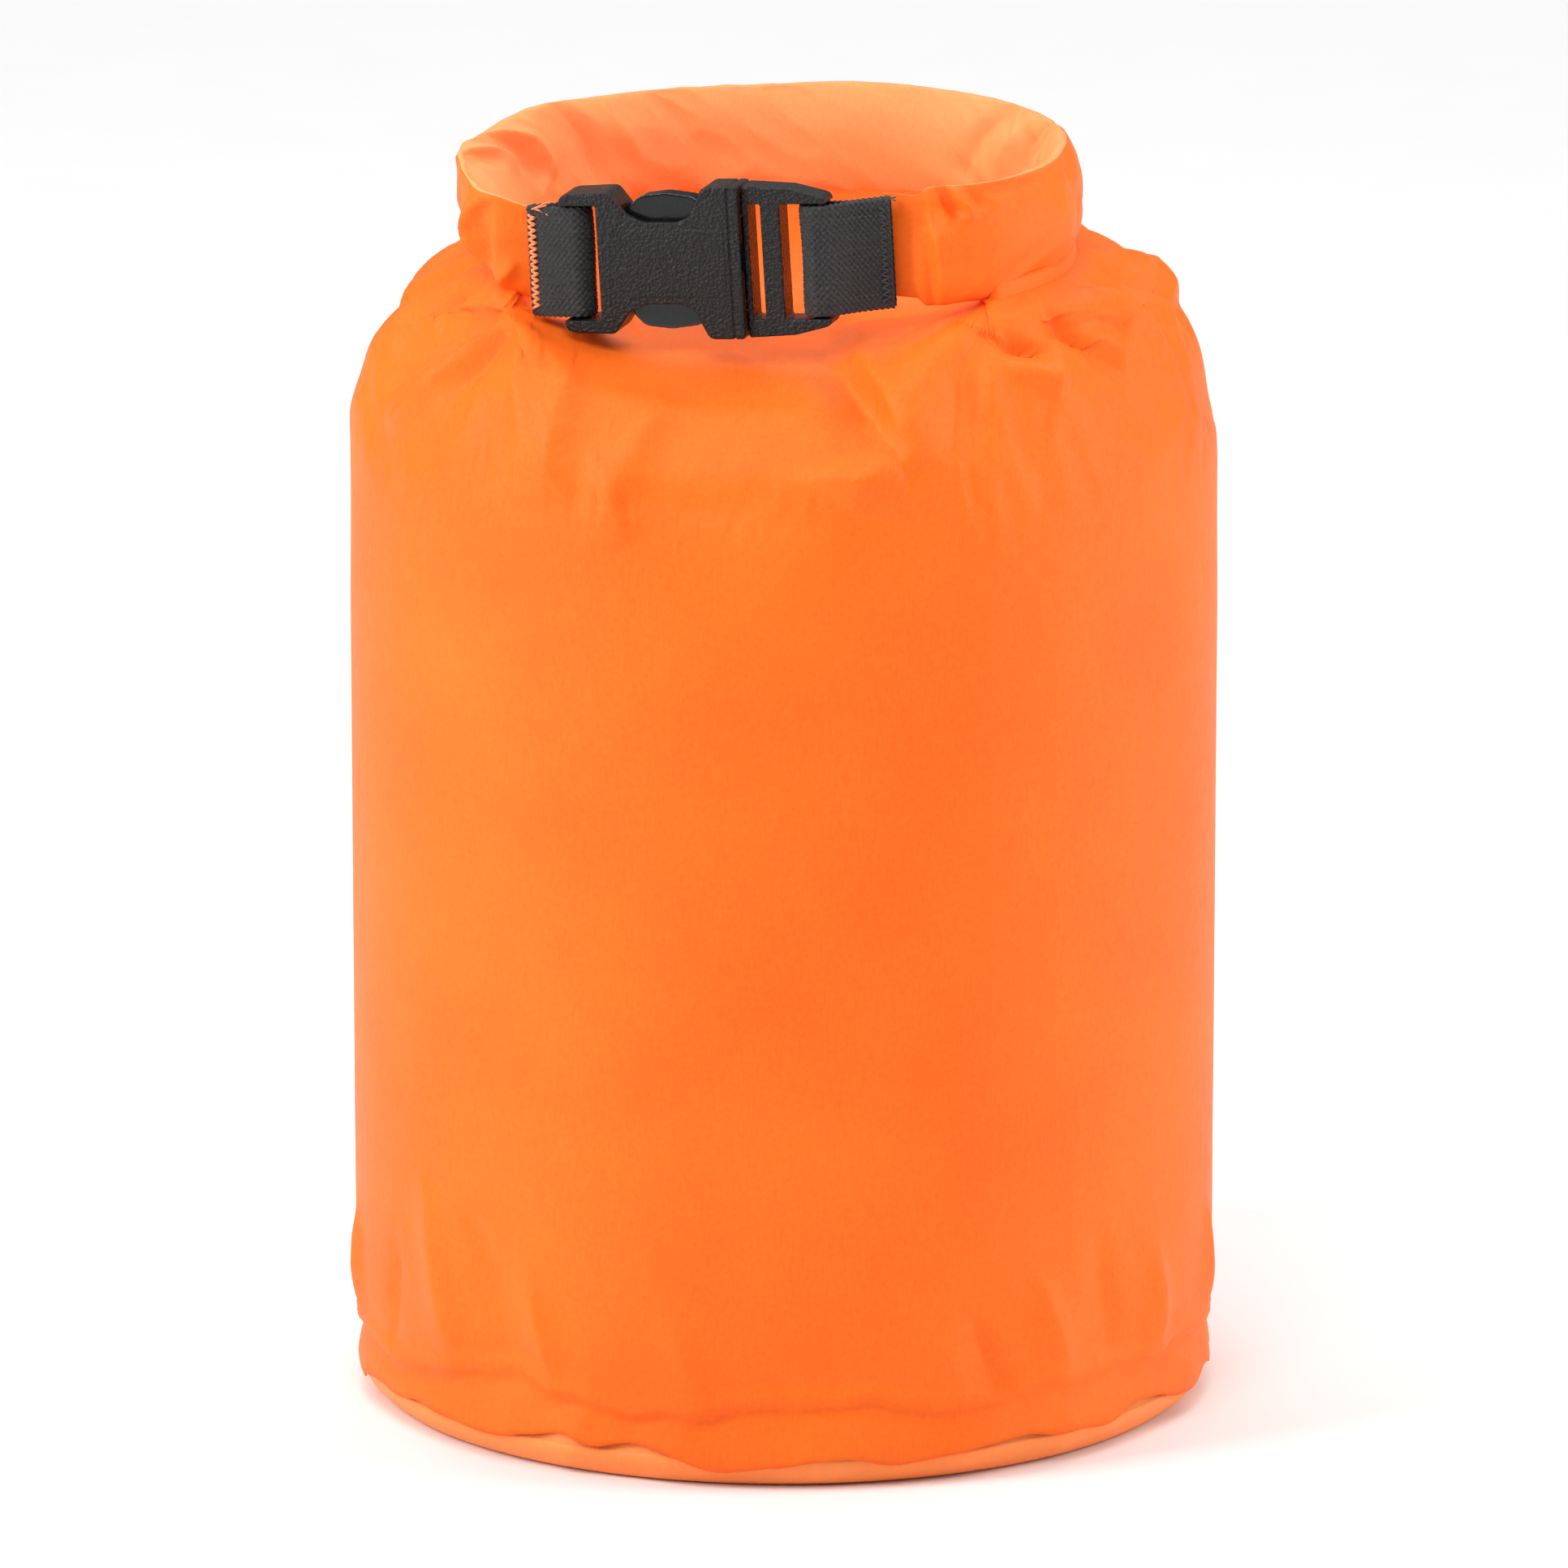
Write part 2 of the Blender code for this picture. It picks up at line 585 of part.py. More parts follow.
def strap_loop(bar_x, bar_half, reach, front, back):
    """Line of a strap along its front layer, round a bar and back.

    reach is -1 for a strap on the left of its bar and 1 on the right.
    """
    turn = bar_half + GAP + WEBBING_THICKNESS / 2
    arc = [Vector((bar_x - reach * p.x, p.y)) for p in half_turn(turn, LOOP_STEPS)]
    return [Vector(p) * MM for p in front] + arc + [Vector(p) * MM for p in reversed(back)]


def build_strap(name, line, collection, frame, mat):
    outline = offset_band(line, WEBBING_THICKNESS)
    mesh = extruded_outline(name, outline, WEBBING_HALF_WIDTH, upright=False)
    return add_object(name, mesh, collection, mat, frame)


def build_straps(collection, frame, mat):
    left_bar = -SOCKET_LENGTH + 0.5 * (SOCKET_BAR + SOCKET_BAR_RECESS)
    left = strap_loop(left_bar, LEFT_LOOP_HALF, -1, LEFT_STRAP_FRONT, LEFT_STRAP_BACK)
    build_strap("strap_left", left, collection, frame, mat)
    right_bar = 0.5 * (PLUG_BAR_2[0] + PLUG_BAR_2[1])
    right = strap_loop(right_bar, RIGHT_LOOP_HALF, 1, RIGHT_STRAP_FRONT, RIGHT_STRAP_BACK)
    build_strap("strap_right", right, collection, frame, mat)


def build_bartack(name, start, slope, collection, frame, mat):
    """One thread that zigzags up the strap, just off its face; slope is the strap's direction there."""
    along = Vector(slope).normalized()
    normal = Vector((along.y, -along.x, 0))
    curve = bpy.data.curves.new(name, "CURVE")
    curve.dimensions = "3D"
    curve.bevel_depth = BARTACK_RADIUS
    curve.bevel_resolution = 1
    curve.use_fill_caps = True
    spline = curve.splines.new("POLY")
    count = 2 * BARTACK_TURNS + 1
    spline.points.add(count - 1)
    height = 2 * (WEBBING_HALF_WIDTH - BARTACK_EDGE)
    for k, point in enumerate(spline.points):
        across = BARTACK_WIDTH * (0.5 if k % 2 else -0.5)
        place = Vector(start) + along * across + normal * (BARTACK_RADIUS + GAP)
        point.co = (place.x, place.y, -height / 2 + height * k / (count - 1), 1)
    obj = bpy.data.objects.new(name, curve)
    collection.objects.link(obj)
    obj.parent = frame
    curve.materials.append(mat)


def build_bartacks(collection, frame, mat):
    build_bartack("bartack_left", BARTACK_LEFT, (1, 0, 0), collection, frame, mat)
    build_bartack("bartack_right", BARTACK_RIGHT, BARTACK_RIGHT_SLOPE, collection, frame, mat)


# ---------------------------------------------------------------- assembly

def main():
    clear_scene()
    parts = new_collection("dry_bag")
    cutters = new_collection("cutters")
    fabric = material("orange_fabric", ORANGE, 0.55)
    build_body_tube(parts, fabric)
    build_base_panel(parts, material("base_fabric", ORANGE_LIGHT, 0.55))
    build_roll_collar(parts, material("rolled_fabric", ORANGE, 0.55))
    build_stiffeners(parts, material("stiffener_plastic", WHITE, 0.4))
    frame = bpy.data.objects.new("buckle_frame", None)
    parts.objects.link(frame)
    frame.location = BUCKLE_ORIGIN
    frame.rotation_euler = (0, -BUCKLE_ROLL, BUCKLE_YAW)
    build_socket(parts, cutters, frame, material("socket_plastic", BLACK, 0.5))
    build_plug(parts, cutters, frame, material("plug_plastic", BLACK, 0.45))
    build_prongs(parts, frame, material("prong_plastic", BLACK, 0.2))
    build_straps(parts, frame, material("webbing", BLACK, 0.7))
    build_bartacks(parts, frame, material("thread", ORANGE_LIGHT, 0.6))


main()
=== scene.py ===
"""Looks of the dry bag: cloth, webbing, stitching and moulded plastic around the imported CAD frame."""
import json
import math

import bmesh
import bpy
import numpy as np
from mathutils import Matrix, Vector, noise
from mathutils.kdtree import KDTree


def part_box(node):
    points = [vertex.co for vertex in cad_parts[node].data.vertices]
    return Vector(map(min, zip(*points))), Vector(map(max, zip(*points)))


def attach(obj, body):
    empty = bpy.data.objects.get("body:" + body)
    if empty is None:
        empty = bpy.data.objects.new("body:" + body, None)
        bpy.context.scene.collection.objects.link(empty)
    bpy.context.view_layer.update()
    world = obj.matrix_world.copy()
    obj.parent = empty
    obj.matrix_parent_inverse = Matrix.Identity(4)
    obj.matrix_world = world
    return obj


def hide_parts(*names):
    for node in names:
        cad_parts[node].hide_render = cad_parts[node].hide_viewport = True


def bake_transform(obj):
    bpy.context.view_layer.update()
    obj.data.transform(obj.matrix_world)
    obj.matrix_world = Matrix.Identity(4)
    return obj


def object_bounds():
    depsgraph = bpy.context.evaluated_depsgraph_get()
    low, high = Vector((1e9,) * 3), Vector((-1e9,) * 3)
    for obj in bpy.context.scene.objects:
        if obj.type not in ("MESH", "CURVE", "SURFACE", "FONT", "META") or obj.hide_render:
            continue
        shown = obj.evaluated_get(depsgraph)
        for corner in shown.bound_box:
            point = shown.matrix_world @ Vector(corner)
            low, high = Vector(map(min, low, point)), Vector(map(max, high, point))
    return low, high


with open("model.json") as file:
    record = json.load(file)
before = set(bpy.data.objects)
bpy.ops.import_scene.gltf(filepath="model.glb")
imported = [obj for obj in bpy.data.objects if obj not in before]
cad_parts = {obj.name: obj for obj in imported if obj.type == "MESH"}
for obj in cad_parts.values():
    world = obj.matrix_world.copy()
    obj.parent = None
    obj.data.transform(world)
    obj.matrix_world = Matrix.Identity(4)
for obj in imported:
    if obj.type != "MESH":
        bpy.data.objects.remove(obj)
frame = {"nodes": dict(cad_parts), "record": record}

CAD_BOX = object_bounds()
MM = 0.001

# ------------------ the frame's places

BODY_LOW, BODY_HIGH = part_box("body_tube")
HALF_WIDTH = 0.5 * (BODY_HIGH[0] - BODY_LOW[0])
HALF_DEPTH = 0.5 * (BODY_HIGH[1] - BODY_LOW[1])
HEM_Z = BODY_LOW[2]
SHOULDER_Z = 196 * MM
BASE_CORNER = 6 * MM

# Plan of the rolled mouth's middle line, as in the CAD: left end round the back to the right end
MOUTH_PLAN = [(-44.8, -36.5), (-50, -33), (-52.5, -22), (-52.5, -6), (-48.5, 9.5), (-38, 23),
              (-20.5, 33), (-1, 36.5), (18, 35), (34.5, 27.5), (45, 14.5), (49.3, -2),
              (49.3, -19), (45, -32.5), (36, -42.5), (24.5, -46.5)]
MOUTH_LENGTH = 236 * MM
ROLL_HALF_HEIGHT = 10.8 * MM
ROLL_END_HALF_HEIGHT = 9.3 * MM
ROLL_HALF_THICKNESS = 4.2 * MM
ROLL_SIDE_Z = 225.2 * MM
NECK_TRIM = 0.05                 # share of the mouth line at each end that the neck leaves out
NECK_HALF_SLOT = 3.2 * MM
LEFT_FOLD = math.radians(222)    # directions in which the roll's two ends fold the wall
RIGHT_FOLD = math.radians(-62)

# The buckle's frame: the slide's axis and point, and the prongs' axis
SLIDE = next(j for j in frame["record"]["behaviour"]["joints"] if j["type"] == "slide")
BUCKLE_X = Vector(SLIDE["axis"]).normalized()
BUCKLE_Y = Vector((-BUCKLE_X.y, BUCKLE_X.x, 0)).normalized()
BUCKLE_Z = BUCKLE_X.cross(BUCKLE_Y)
BUCKLE = Matrix((BUCKLE_X, BUCKLE_Y, BUCKLE_Z)).transposed().to_4x4()
BUCKLE.translation = Vector(SLIDE["pos_m"])

WEAVE_WARP = 0.247               # pitch of the fabric's warp and weft, in mm
WEAVE_WEFT = 0.342
WEAVE_HEIGHT = 0.03 * MM
FIBRE_PITCH = 0.16               # of the twisted fibres in the straps' yarn, in mm
GRAIN_HEIGHT = 0.25 * MM
CLOTH_THICKNESS = 0.25 * MM


# ------------------ node materials

class Graph:
    """Small helper for building a material's node tree."""

    def __init__(self, name):
        self.mat = bpy.data.materials.new(name)
        self.mat.use_nodes = True
        self.tree = self.mat.node_tree
        self.shader = self.tree.nodes["Principled BSDF"]
        self.place = self.node("ShaderNodeTexCoord").outputs["Object"]

    def node(self, kind, **settings):
        made = self.tree.nodes.new(kind)
        for key, value in settings.items():
            setattr(made, key, value)
        return made

    def link(self, source, target):
        self.tree.links.new(source, target)

    def feed(self, socket, value):
        """Links a socket to an output, or sets it when value is a number or a colour."""
        if isinstance(value, (int, float, tuple)):
            socket.default_value = value
        else:
            self.link(value, socket)

    def math(self, operation, a, b=None):
        made = self.node("ShaderNodeMath", operation=operation)
        self.feed(made.inputs[0], a)
        if b is not None:
            self.feed(made.inputs[1], b)
        return made.outputs[0]

    def weighted(self, first, *rest):
        """Sum of outputs, each given with its weight."""
        total = self.math("MULTIPLY", *first)
        for pair in rest:
            total = self.math("ADD", total, self.math("MULTIPLY", *pair))
        return total

    def noise(self, scale, detail, roughness=0.55, vector=None):
        made = self.node("ShaderNodeTexNoise")
        made.inputs["Scale"].default_value = scale
        made.inputs["Detail"].default_value = detail
        made.inputs["Roughness"].default_value = roughness
        self.link(vector or self.place, made.inputs["Vector"])
        return made.outputs["Fac"]

    def cells(self, scale):
        made = self.node("ShaderNodeTexVoronoi")
        made.inputs["Scale"].default_value = scale
        self.link(self.place, made.inputs["Vector"])
        return made.outputs["Distance"]

    def remap(self, value, low, high, new_low=0, new_high=1):
        made = self.node("ShaderNodeMapRange")
        for socket, number in zip(made.inputs[1:5], (low, high, new_low, new_high)):
            socket.default_value = number
        self.link(value, made.inputs[0])
        return made.outputs[0]

    def blend(self, factor, a, b):
        made = self.node("ShaderNodeMix", data_type="RGBA")
        self.link(factor, made.inputs["Factor"])
        self.feed(made.inputs["A"], a)
        self.feed(made.inputs["B"], b)
        return made.outputs["Result"]

    def bump(self, height, distance, strength, normal=None):
        made = self.node("ShaderNodeBump")
        made.inputs["Strength"].default_value = strength
        made.inputs["Distance"].default_value = distance
        self.link(height, made.inputs["Height"])
        if normal is not None:
            self.link(normal, made.inputs["Normal"])
        return made.outputs["Normal"]

    def finish(self, colour, normal=None, roughness=None, **values):
        """Links the shader's main inputs, sets the others by name, and returns the material."""
        self.link(colour, self.shader.inputs["Base Color"])
        if normal is not None:
            self.link(normal, self.shader.inputs["Normal"])
        if roughness is not None:
            self.feed(self.shader.inputs["Roughness"], roughness)
        for key, value in values.items():
            self.shader.inputs[key.replace("_", " ")].default_value = value
        return self.mat


def rgb(r, g, b):
    return (r, g, b, 1.0)


def plain_weave(g, vector):
    """Height, -1 to 1, of a plain weave over a vector in mm: one colour of a checker is up."""
    split = g.node("ShaderNodeSeparateXYZ")
    g.link(vector, split.inputs[0])
    across = g.math("SINE", g.math("MULTIPLY", split.outputs[0], math.pi / WEAVE_WARP))
    along = g.math("SINE", g.math("MULTIPLY", split.outputs[1], math.pi / WEAVE_WEFT))
    return g.math("MULTIPLY", across, along)


def coated_nylon(name, deep, light):
    """Thin coated nylon: plain weave, slubs and a soft satin sheen."""
    g = Graph(name)
    fabric = g.node("ShaderNodeUVMap", uv_map="fabric_mm").outputs[0]
    weave_and_highlight = plain_weave(g, fabric)
    stretch = g.node("ShaderNodeMapping")
    stretch.inputs["Scale"].default_value = (6, 0.22, 1)
    g.link(fabric, stretch.inputs["Vector"])
    slubs = g.noise(0.9, 2, vector=stretch.outputs[0])
    tone = g.weighted((g.noise(26, 3, 0.5), 0.4), (slubs, 0.3), (g.noise(1000, 2, 0.7), 0.3))
    colour = g.blend(g.remap(tone, 0.38, 0.62), deep, light)
    # painted highlight: the weave's raised threads are blended towards a lighter orange, as if catching the
    # light
    colour = g.blend(g.remap(weave_and_highlight, -1, 1, 0, 0.4), colour, rgb(1.0, 0.20, 0.04))
    normal = g.bump(g.noise(90, 4, 0.5), 0.25 * MM, 0.35)
    normal = g.bump(slubs, 0.02 * MM, 0.35, normal)
    normal = g.bump(weave_and_highlight, WEAVE_HEIGHT, 0.55, normal)
    roughness = g.remap(g.noise(420, 3, 0.6), 0.3, 0.7, 0.46, 0.56)
    return g.finish(colour, normal, roughness, Specular_IOR_Level=0.22, Specular_Tint=rgb(1.0, 0.88, 0.74),
                    Sheen_Weight=0.03, Sheen_Roughness=0.3, Sheen_Tint=rgb(1.0, 0.66, 0.42))


def grained_plastic(name):
    """Black acetal with the fine spark-eroded grain of its mould, duller where it is handled."""
    g = Graph(name)
    grain_and_glints = g.cells(1700)
    broad = g.noise(160, 3)
    colour = g.blend(g.remap(broad, 0.3, 0.7), rgb(0.0014, 0.0014, 0.00143), rgb(0.00238, 0.00231, 0.00224))
    # painted glints: the black is blended lighter towards the edges of the grain's cells, standing in for
    # light caught by the grain
    colour = g.blend(g.remap(grain_and_glints, 0.15, 0.75), colour, rgb(0.0063, 0.00588, 0.0056))
    normal = g.bump(g.weighted((grain_and_glints, 0.9), (g.noise(5200, 2, 0.6), 0.5)), GRAIN_HEIGHT, 0.9)
    return g.finish(colour, normal, g.remap(broad, 0.3, 0.7, 0.27, 0.38), Specular_IOR_Level=0.3)


def glossy_plastic(name):
    """Polished black acetal of the prongs, with faint flow marks and fingerprints."""
    g = Graph(name)
    marks = g.noise(700, 4, 0.6)
    handled = g.remap(g.noise(120, 2), 0.3, 0.7)
    colour = g.blend(handled, rgb(0.003, 0.003, 0.003), rgb(0.006, 0.0055, 0.005))
    roughness = g.remap(marks, 0.35, 0.75, 0.12, 0.30)
    return g.finish(colour, g.bump(marks, 0.01 * MM, 0.4), roughness, Specular_IOR_Level=0.55)


def webbing_yarn(name):
    """Black polyamide tape: twisted yarns that catch the light at the top of each float."""
    g = Graph(name)
    split = g.node("ShaderNodeSeparateXYZ")
    g.link(g.node("ShaderNodeUVMap", uv_map="fabric_mm").outputs[0], split.inputs[0])
    diagonal = g.math("ADD", g.math("MULTIPLY", split.outputs[0], 2.0), split.outputs[1])
    fibre = g.math("SINE", g.math("MULTIPLY", diagonal, 2 * math.pi / FIBRE_PITCH))
    hair = g.noise(2600, 3, 0.65)
    shade = g.remap(g.weighted((hair, 0.6), (g.noise(210, 3), 0.4)), 0.35, 0.68)
    colour = g.blend(shade, rgb(0.0022, 0.0022, 0.0023), rgb(0.012, 0.0115, 0.011))
    normal = g.bump(hair, 0.03 * MM, 0.5, g.bump(fibre, 0.02 * MM, 0.5))
    return g.finish(colour, normal, g.remap(hair, 0.3, 0.7, 0.34, 0.52), Specular_IOR_Level=0.55,
                    Sheen_Weight=0.12, Sheen_Roughness=0.35)


def sewing_thread(name, dark, light):
    """Twisted thread: plies run round it at a slant."""
    g = Graph(name)
    plies = g.node("ShaderNodeTexWave", wave_type="BANDS", bands_direction="DIAGONAL")
    plies.inputs["Scale"].default_value = 900
    plies.inputs["Distortion"].default_value = 1.5
    g.link(g.place, plies.inputs["Vector"])
    colour = g.blend(g.remap(g.noise(3000, 3), 0.35, 0.65), dark, light)
    normal = g.bump(plies.outputs["Fac"], 0.05 * MM, 0.7)
    return g.finish(colour, normal, 0.55, Sheen_Weight=0.4, Sheen_Roughness=0.4)


def strip_plastic(name):
    """Milky polyethylene strip with fine extrusion lines."""
    g = Graph(name)
    lines = g.noise(800, 2)
    colour = g.blend(g.remap(lines, 0.3, 0.7), rgb(0.66, 0.66, 0.63), rgb(0.8, 0.8, 0.77))
    return g.finish(colour, g.bump(lines, 0.02 * MM, 0.5), 0.4)


def studio_paper(name):
    """Matt pale paper of the floor, slightly mottled."""
    g = Graph(name)
    return g.finish(g.blend(g.noise(30, 4), rgb(0.86, 0.86, 0.86), rgb(0.89, 0.89, 0.89)), roughness=0.85)


# ------------------ meshes

def add_object(name, data):
    obj = bpy.data.objects.new(name, data)
    bpy.context.scene.collection.objects.link(obj)
    return obj


def grid_mesh(name, points, *materials, wrap=False, uv=None):
    """Object from a rows x columns array of points; wrap joins the last column to the first.

    uv is an array of the same rows and one more column when wrapped, in millimetres of cloth.
    """
    rows, cols = points.shape[:2]
    mesh = bpy.data.meshes.new(name)
    spans = cols if wrap else cols - 1
    i, j = np.divmod(np.arange((rows - 1) * spans), spans)
    k = (j + 1) % cols
    faces = np.column_stack([i * cols + j, i * cols + k, (i + 1) * cols + k, (i + 1) * cols + j])
    mesh.from_pydata(points.reshape(-1, 3).tolist(), [], faces.tolist())
    if uv is not None:
        layer = mesh.uv_layers.new(name="fabric_mm")
        corners = np.stack([uv[i, j], uv[i, j + 1], uv[i + 1, j + 1], uv[i + 1, j]], axis=1)
        layer.data.foreach_set("uv", corners.astype(np.float32).reshape(-1))
    mesh.shade_smooth()
    for material in materials:
        mesh.materials.append(material)
    return add_object(name, mesh)


def close_ends(obj, turns, last=True):
    """Caps the first ring of a wrapped grid, and the last one."""
    bm = bmesh.new()
    bm.from_mesh(obj.data)
    bm.verts.ensure_lookup_table()
    bm.faces.new([bm.verts[j] for j in range(turns)])
    if last:
        end = len(bm.verts) - turns
        bm.faces.new([bm.verts[end + j] for j in range(turns)][::-1])
    bmesh.ops.recalc_face_normals(bm, faces=bm.faces)
    bm.to_mesh(obj.data)
    bm.free()
    obj.data.shade_smooth()


def cloth_uv(points):
    """Distances along the columns and rows of a grid of cloth that is closed round its columns, in mm."""
    rows, cols = points.shape[:2]
    up = np.zeros((rows, cols))
    up[1:] = np.cumsum(np.linalg.norm(np.diff(points, axis=0), axis=2), axis=0)
    middle = points[rows // 3]
    closed = np.concatenate([middle, middle[:1]])
    along = np.concatenate([[0], np.cumsum(np.linalg.norm(np.diff(closed, axis=0), axis=1))])
    uv = np.zeros((rows, len(along), 2))
    uv[:, :, 0] = along[None, :] / MM
    uv[:, :cols, 1] = up / MM
    uv[:, cols, 1] = up[:, 0] / MM
    return uv


def rows_of(items, name):
    """A three-part value of each item of a mesh, such as its vertices' co, as rows of an array."""
    values = np.zeros(len(items) * 3, np.float32)
    items.foreach_get(name, values)
    return values.reshape(-1, 3).astype(float)


def positions(obj):
    return rows_of(obj.data.vertices, "co")


def vertex_normals(obj):
    obj.data.update()
    return rows_of(obj.data.vertex_normals, "vector")


def set_positions(obj, points):
    obj.data.vertices.foreach_set("co", np.asarray(points, np.float32).reshape(-1))
    obj.data.update()


def smoothstep(low, high, x):
    """0 below low, 1 above high, and a smooth rise between them."""
    t = np.clip((np.asarray(x, float) - low) / (high - low), 0, 1)
    return t * t * (3 - 2 * t)


def bell(x, middle, width):
    """1 at middle, falling smoothly to almost 0 two widths away from it."""
    return np.exp(-((np.asarray(x, float) - middle) / width) ** 2)


def subdivide(obj):
    mod = obj.modifiers.new("smooth", "SUBSURF")
    mod.levels = mod.render_levels = 1


def thicken(obj):
    """Gives cloth its thickness, on its inner side."""
    mod = obj.modifiers.new("thickness", "SOLIDIFY")
    mod.thickness = CLOTH_THICKNESS
    mod.offset = -1.0


def apply_modifiers(obj):
    bpy.context.view_layer.update()
    deps = bpy.context.evaluated_depsgraph_get()
    mesh = bpy.data.meshes.new_from_object(obj.evaluated_get(deps), preserve_all_data_layers=True,
                                           depsgraph=deps)
    old = obj.data
    obj.modifiers.clear()
    obj.data = mesh
    bpy.data.meshes.remove(old)


# ------------------ the rolled mouth's line

def spline_point(points, t):
    """Point of the Catmull-Rom curve through points at a share t of its spans."""
    spans = len(points) - 1
    index = min(int(t * spans), spans - 1)
    u = t * spans - index
    p0, p1, p2, p3 = (np.array(points[max(0, min(spans, index + k))], float) for k in (-1, 0, 1, 2))
    if index == 0:
        p0 = p1 * 2 - p2
    if index == spans - 1:
        p3 = p2 * 2 - p1
    return 0.5 * (2 * p1 + (p2 - p0) * u + (2 * p0 - 5 * p1 + 4 * p2 - p3) * u ** 2
                  + (3 * p1 - p0 - 3 * p2 + p3) * u ** 3)


def line_lengths(points):
    """Distance of each of a line's points from its start."""
    return np.concatenate([[0], np.cumsum(np.linalg.norm(np.diff(points, axis=0), axis=1))])


def points_at(where, along, line):
    """Plan points at distances where of a line whose points lie at distances along."""
    return np.stack([np.interp(where, along, line[:, k]) for k in (0, 1)], axis=1)


def sides_at(where, along, line, step):
    """Unit vectors to the left of the line at distances where, from points a step ahead and behind."""
    tangents = points_at(where + step, along, line) - points_at(where - step, along, line)
    tangents /= np.linalg.norm(tangents, axis=1, keepdims=True)
    return np.stack([-tangents[:, 1], tangents[:, 0]], axis=1)


def mouth_line(ts):
    """(points, outward sides) in plan at shares ts of the mouth line's length."""
    fine = np.array([spline_point(MOUTH_PLAN, k / 1500) for k in range(1501)]) * MM
    along = line_lengths(fine)
    where = np.asarray(ts) * along[-1]
    return points_at(where, along, fine), sides_at(where, along, fine, 0.4 * MM)


def roll_lean(t):
    """Lean of the roll towards the bag's middle, mostly near its left end, in radians."""
    return math.radians(31) * bell(t, 0.115, 0.13) + math.radians(3) * bell(t, 0.78, 0.14)


def roll_surface(t, xy, out, height, wide, tall):
    """Grid of points wide of the roll's middle line and tall above it, with the section's lean."""
    flat = np.column_stack([out, np.zeros(len(out))])
    up = np.array([0.0, 0.0, 1.0])
    cos, sin = np.cos(roll_lean(t))[:, None], np.sin(roll_lean(t))[:, None]
    side, rise = flat * cos - up * sin, flat * sin + up * cos
    middle = np.column_stack([xy, height])
    return middle[:, None] + side[:, None] * wide[..., None] + rise[:, None] * tall[..., None]


def roll_height(t):
    """Height of the roll's middle line at shares t of its length."""
    t = np.asarray(t, float)
    return ROLL_SIDE_Z + 1.0 * MM * bell(t, 0.5, 0.2) - 1.2 * MM * np.abs(2 * t - 1) ** 6


# ------------------ folds

def fold(points, normals, route, height, gentle, steep):
    """Pushes cloth out (height over 0) or in along a route of points in mm, dying away at both ends.

    gentle and steep are the widths of the slopes on the left and right of the route, in mm.
    """
    route = np.array(route, float) * MM
    lengths = np.linalg.norm(np.diff(route, axis=0), axis=1)
    total = lengths.sum()
    best = np.full(len(points), np.inf)
    share = np.zeros(len(points))
    side = np.zeros(len(points))
    done = 0.0
    for start, end, length in zip(route[:-1], route[1:], lengths):
        along = (end - start) / length
        s = np.clip((points - start) @ along, 0, length)
        away = points - start - s[:, None] * along
        off = (away * normals).sum(axis=1, keepdims=True)
        away = away - off * normals
        distance = np.linalg.norm(away, axis=1) + np.maximum(np.abs(off[:, 0]) - 9 * MM, 0)
        nearer = distance < best
        best = np.where(nearer, distance, best)
        share = np.where(nearer, (done + s) / total, share)
        turn = (np.cross(np.broadcast_to(along, away.shape), away) * normals).sum(axis=1)
        side = np.where(nearer, turn, side)
        done += length
    width = np.where(side > 0, gentle, steep) * MM * (0.7 + 0.6 * share)
    profile = np.exp(-(best / width) ** 2) * 0.55 + np.exp(-best / (0.8 * width)) * 0.45
    taper = np.sin(math.pi * np.clip(0.08 + 0.92 * share, 0, 1)) ** 0.7
    near = np.abs(best) < 5 * width
    return points + normals * (height * MM * profile * taper * near)[:, None]


# ------------------ body of the bag

WALL_ROWS = 70
SHOULDER_ROWS = 46
OUTER_COLS = 196
INNER_COLS = 124
SHOWN_HEM_Z = HEM_Z - 2.5 * MM
LOWEST_HEM_Z = 2.5 * MM
WELD_STEP = 1.0 * MM             # how far the wall lies in below the weld's upper edge
WELD_RIDGE = 0.8 * MM            # how far it stands out above that edge
GATHER_DEPTH = 0.55 * MM
RIPPLE_DEPTH = 1.4 * MM
BACK_DROP = 3 * MM               # how far below SHOULDER_Z the wall starts to lean in: at the back,
SIDE_DROP = 8 * MM               # how much lower over the whole front half,
FRONT_DROP = 16 * MM             # and how much lower still in the direction FRONT_MIDDLE
FRONT_MIDDLE = math.radians(262)
DOME_Z = 206 * MM                # height that the cloth reaches under the buckle
DOME_LEFT_RISE = 2.5 * MM        # how much higher it is towards the roll's two ends
DOME_RIGHT_RISE = 6.5 * MM
DOME_SHARE = 0.275               # share of the way to the neck at which it gets there
DOME_ROWS = 0.5                  # share of the shoulder's rows used for that
DOME_POWER = 1.5                 # roundness of the dome's profile
RELAX_PASSES = 26
HELD_Z = 150 * MM                # below this the full bag's wall is tight and doesn't move
SIMULATED_FRAMES = 26
LAST_CACHED_FRAME = 30
MOST_MOVED = 1.8 * MM          # most that the simulation may move the cloth

# How many times their listed heights the shoulder's, the back's and the base's folds stand out
FOLD_STRENGTHS = (2.15, 1.1, 1.5)

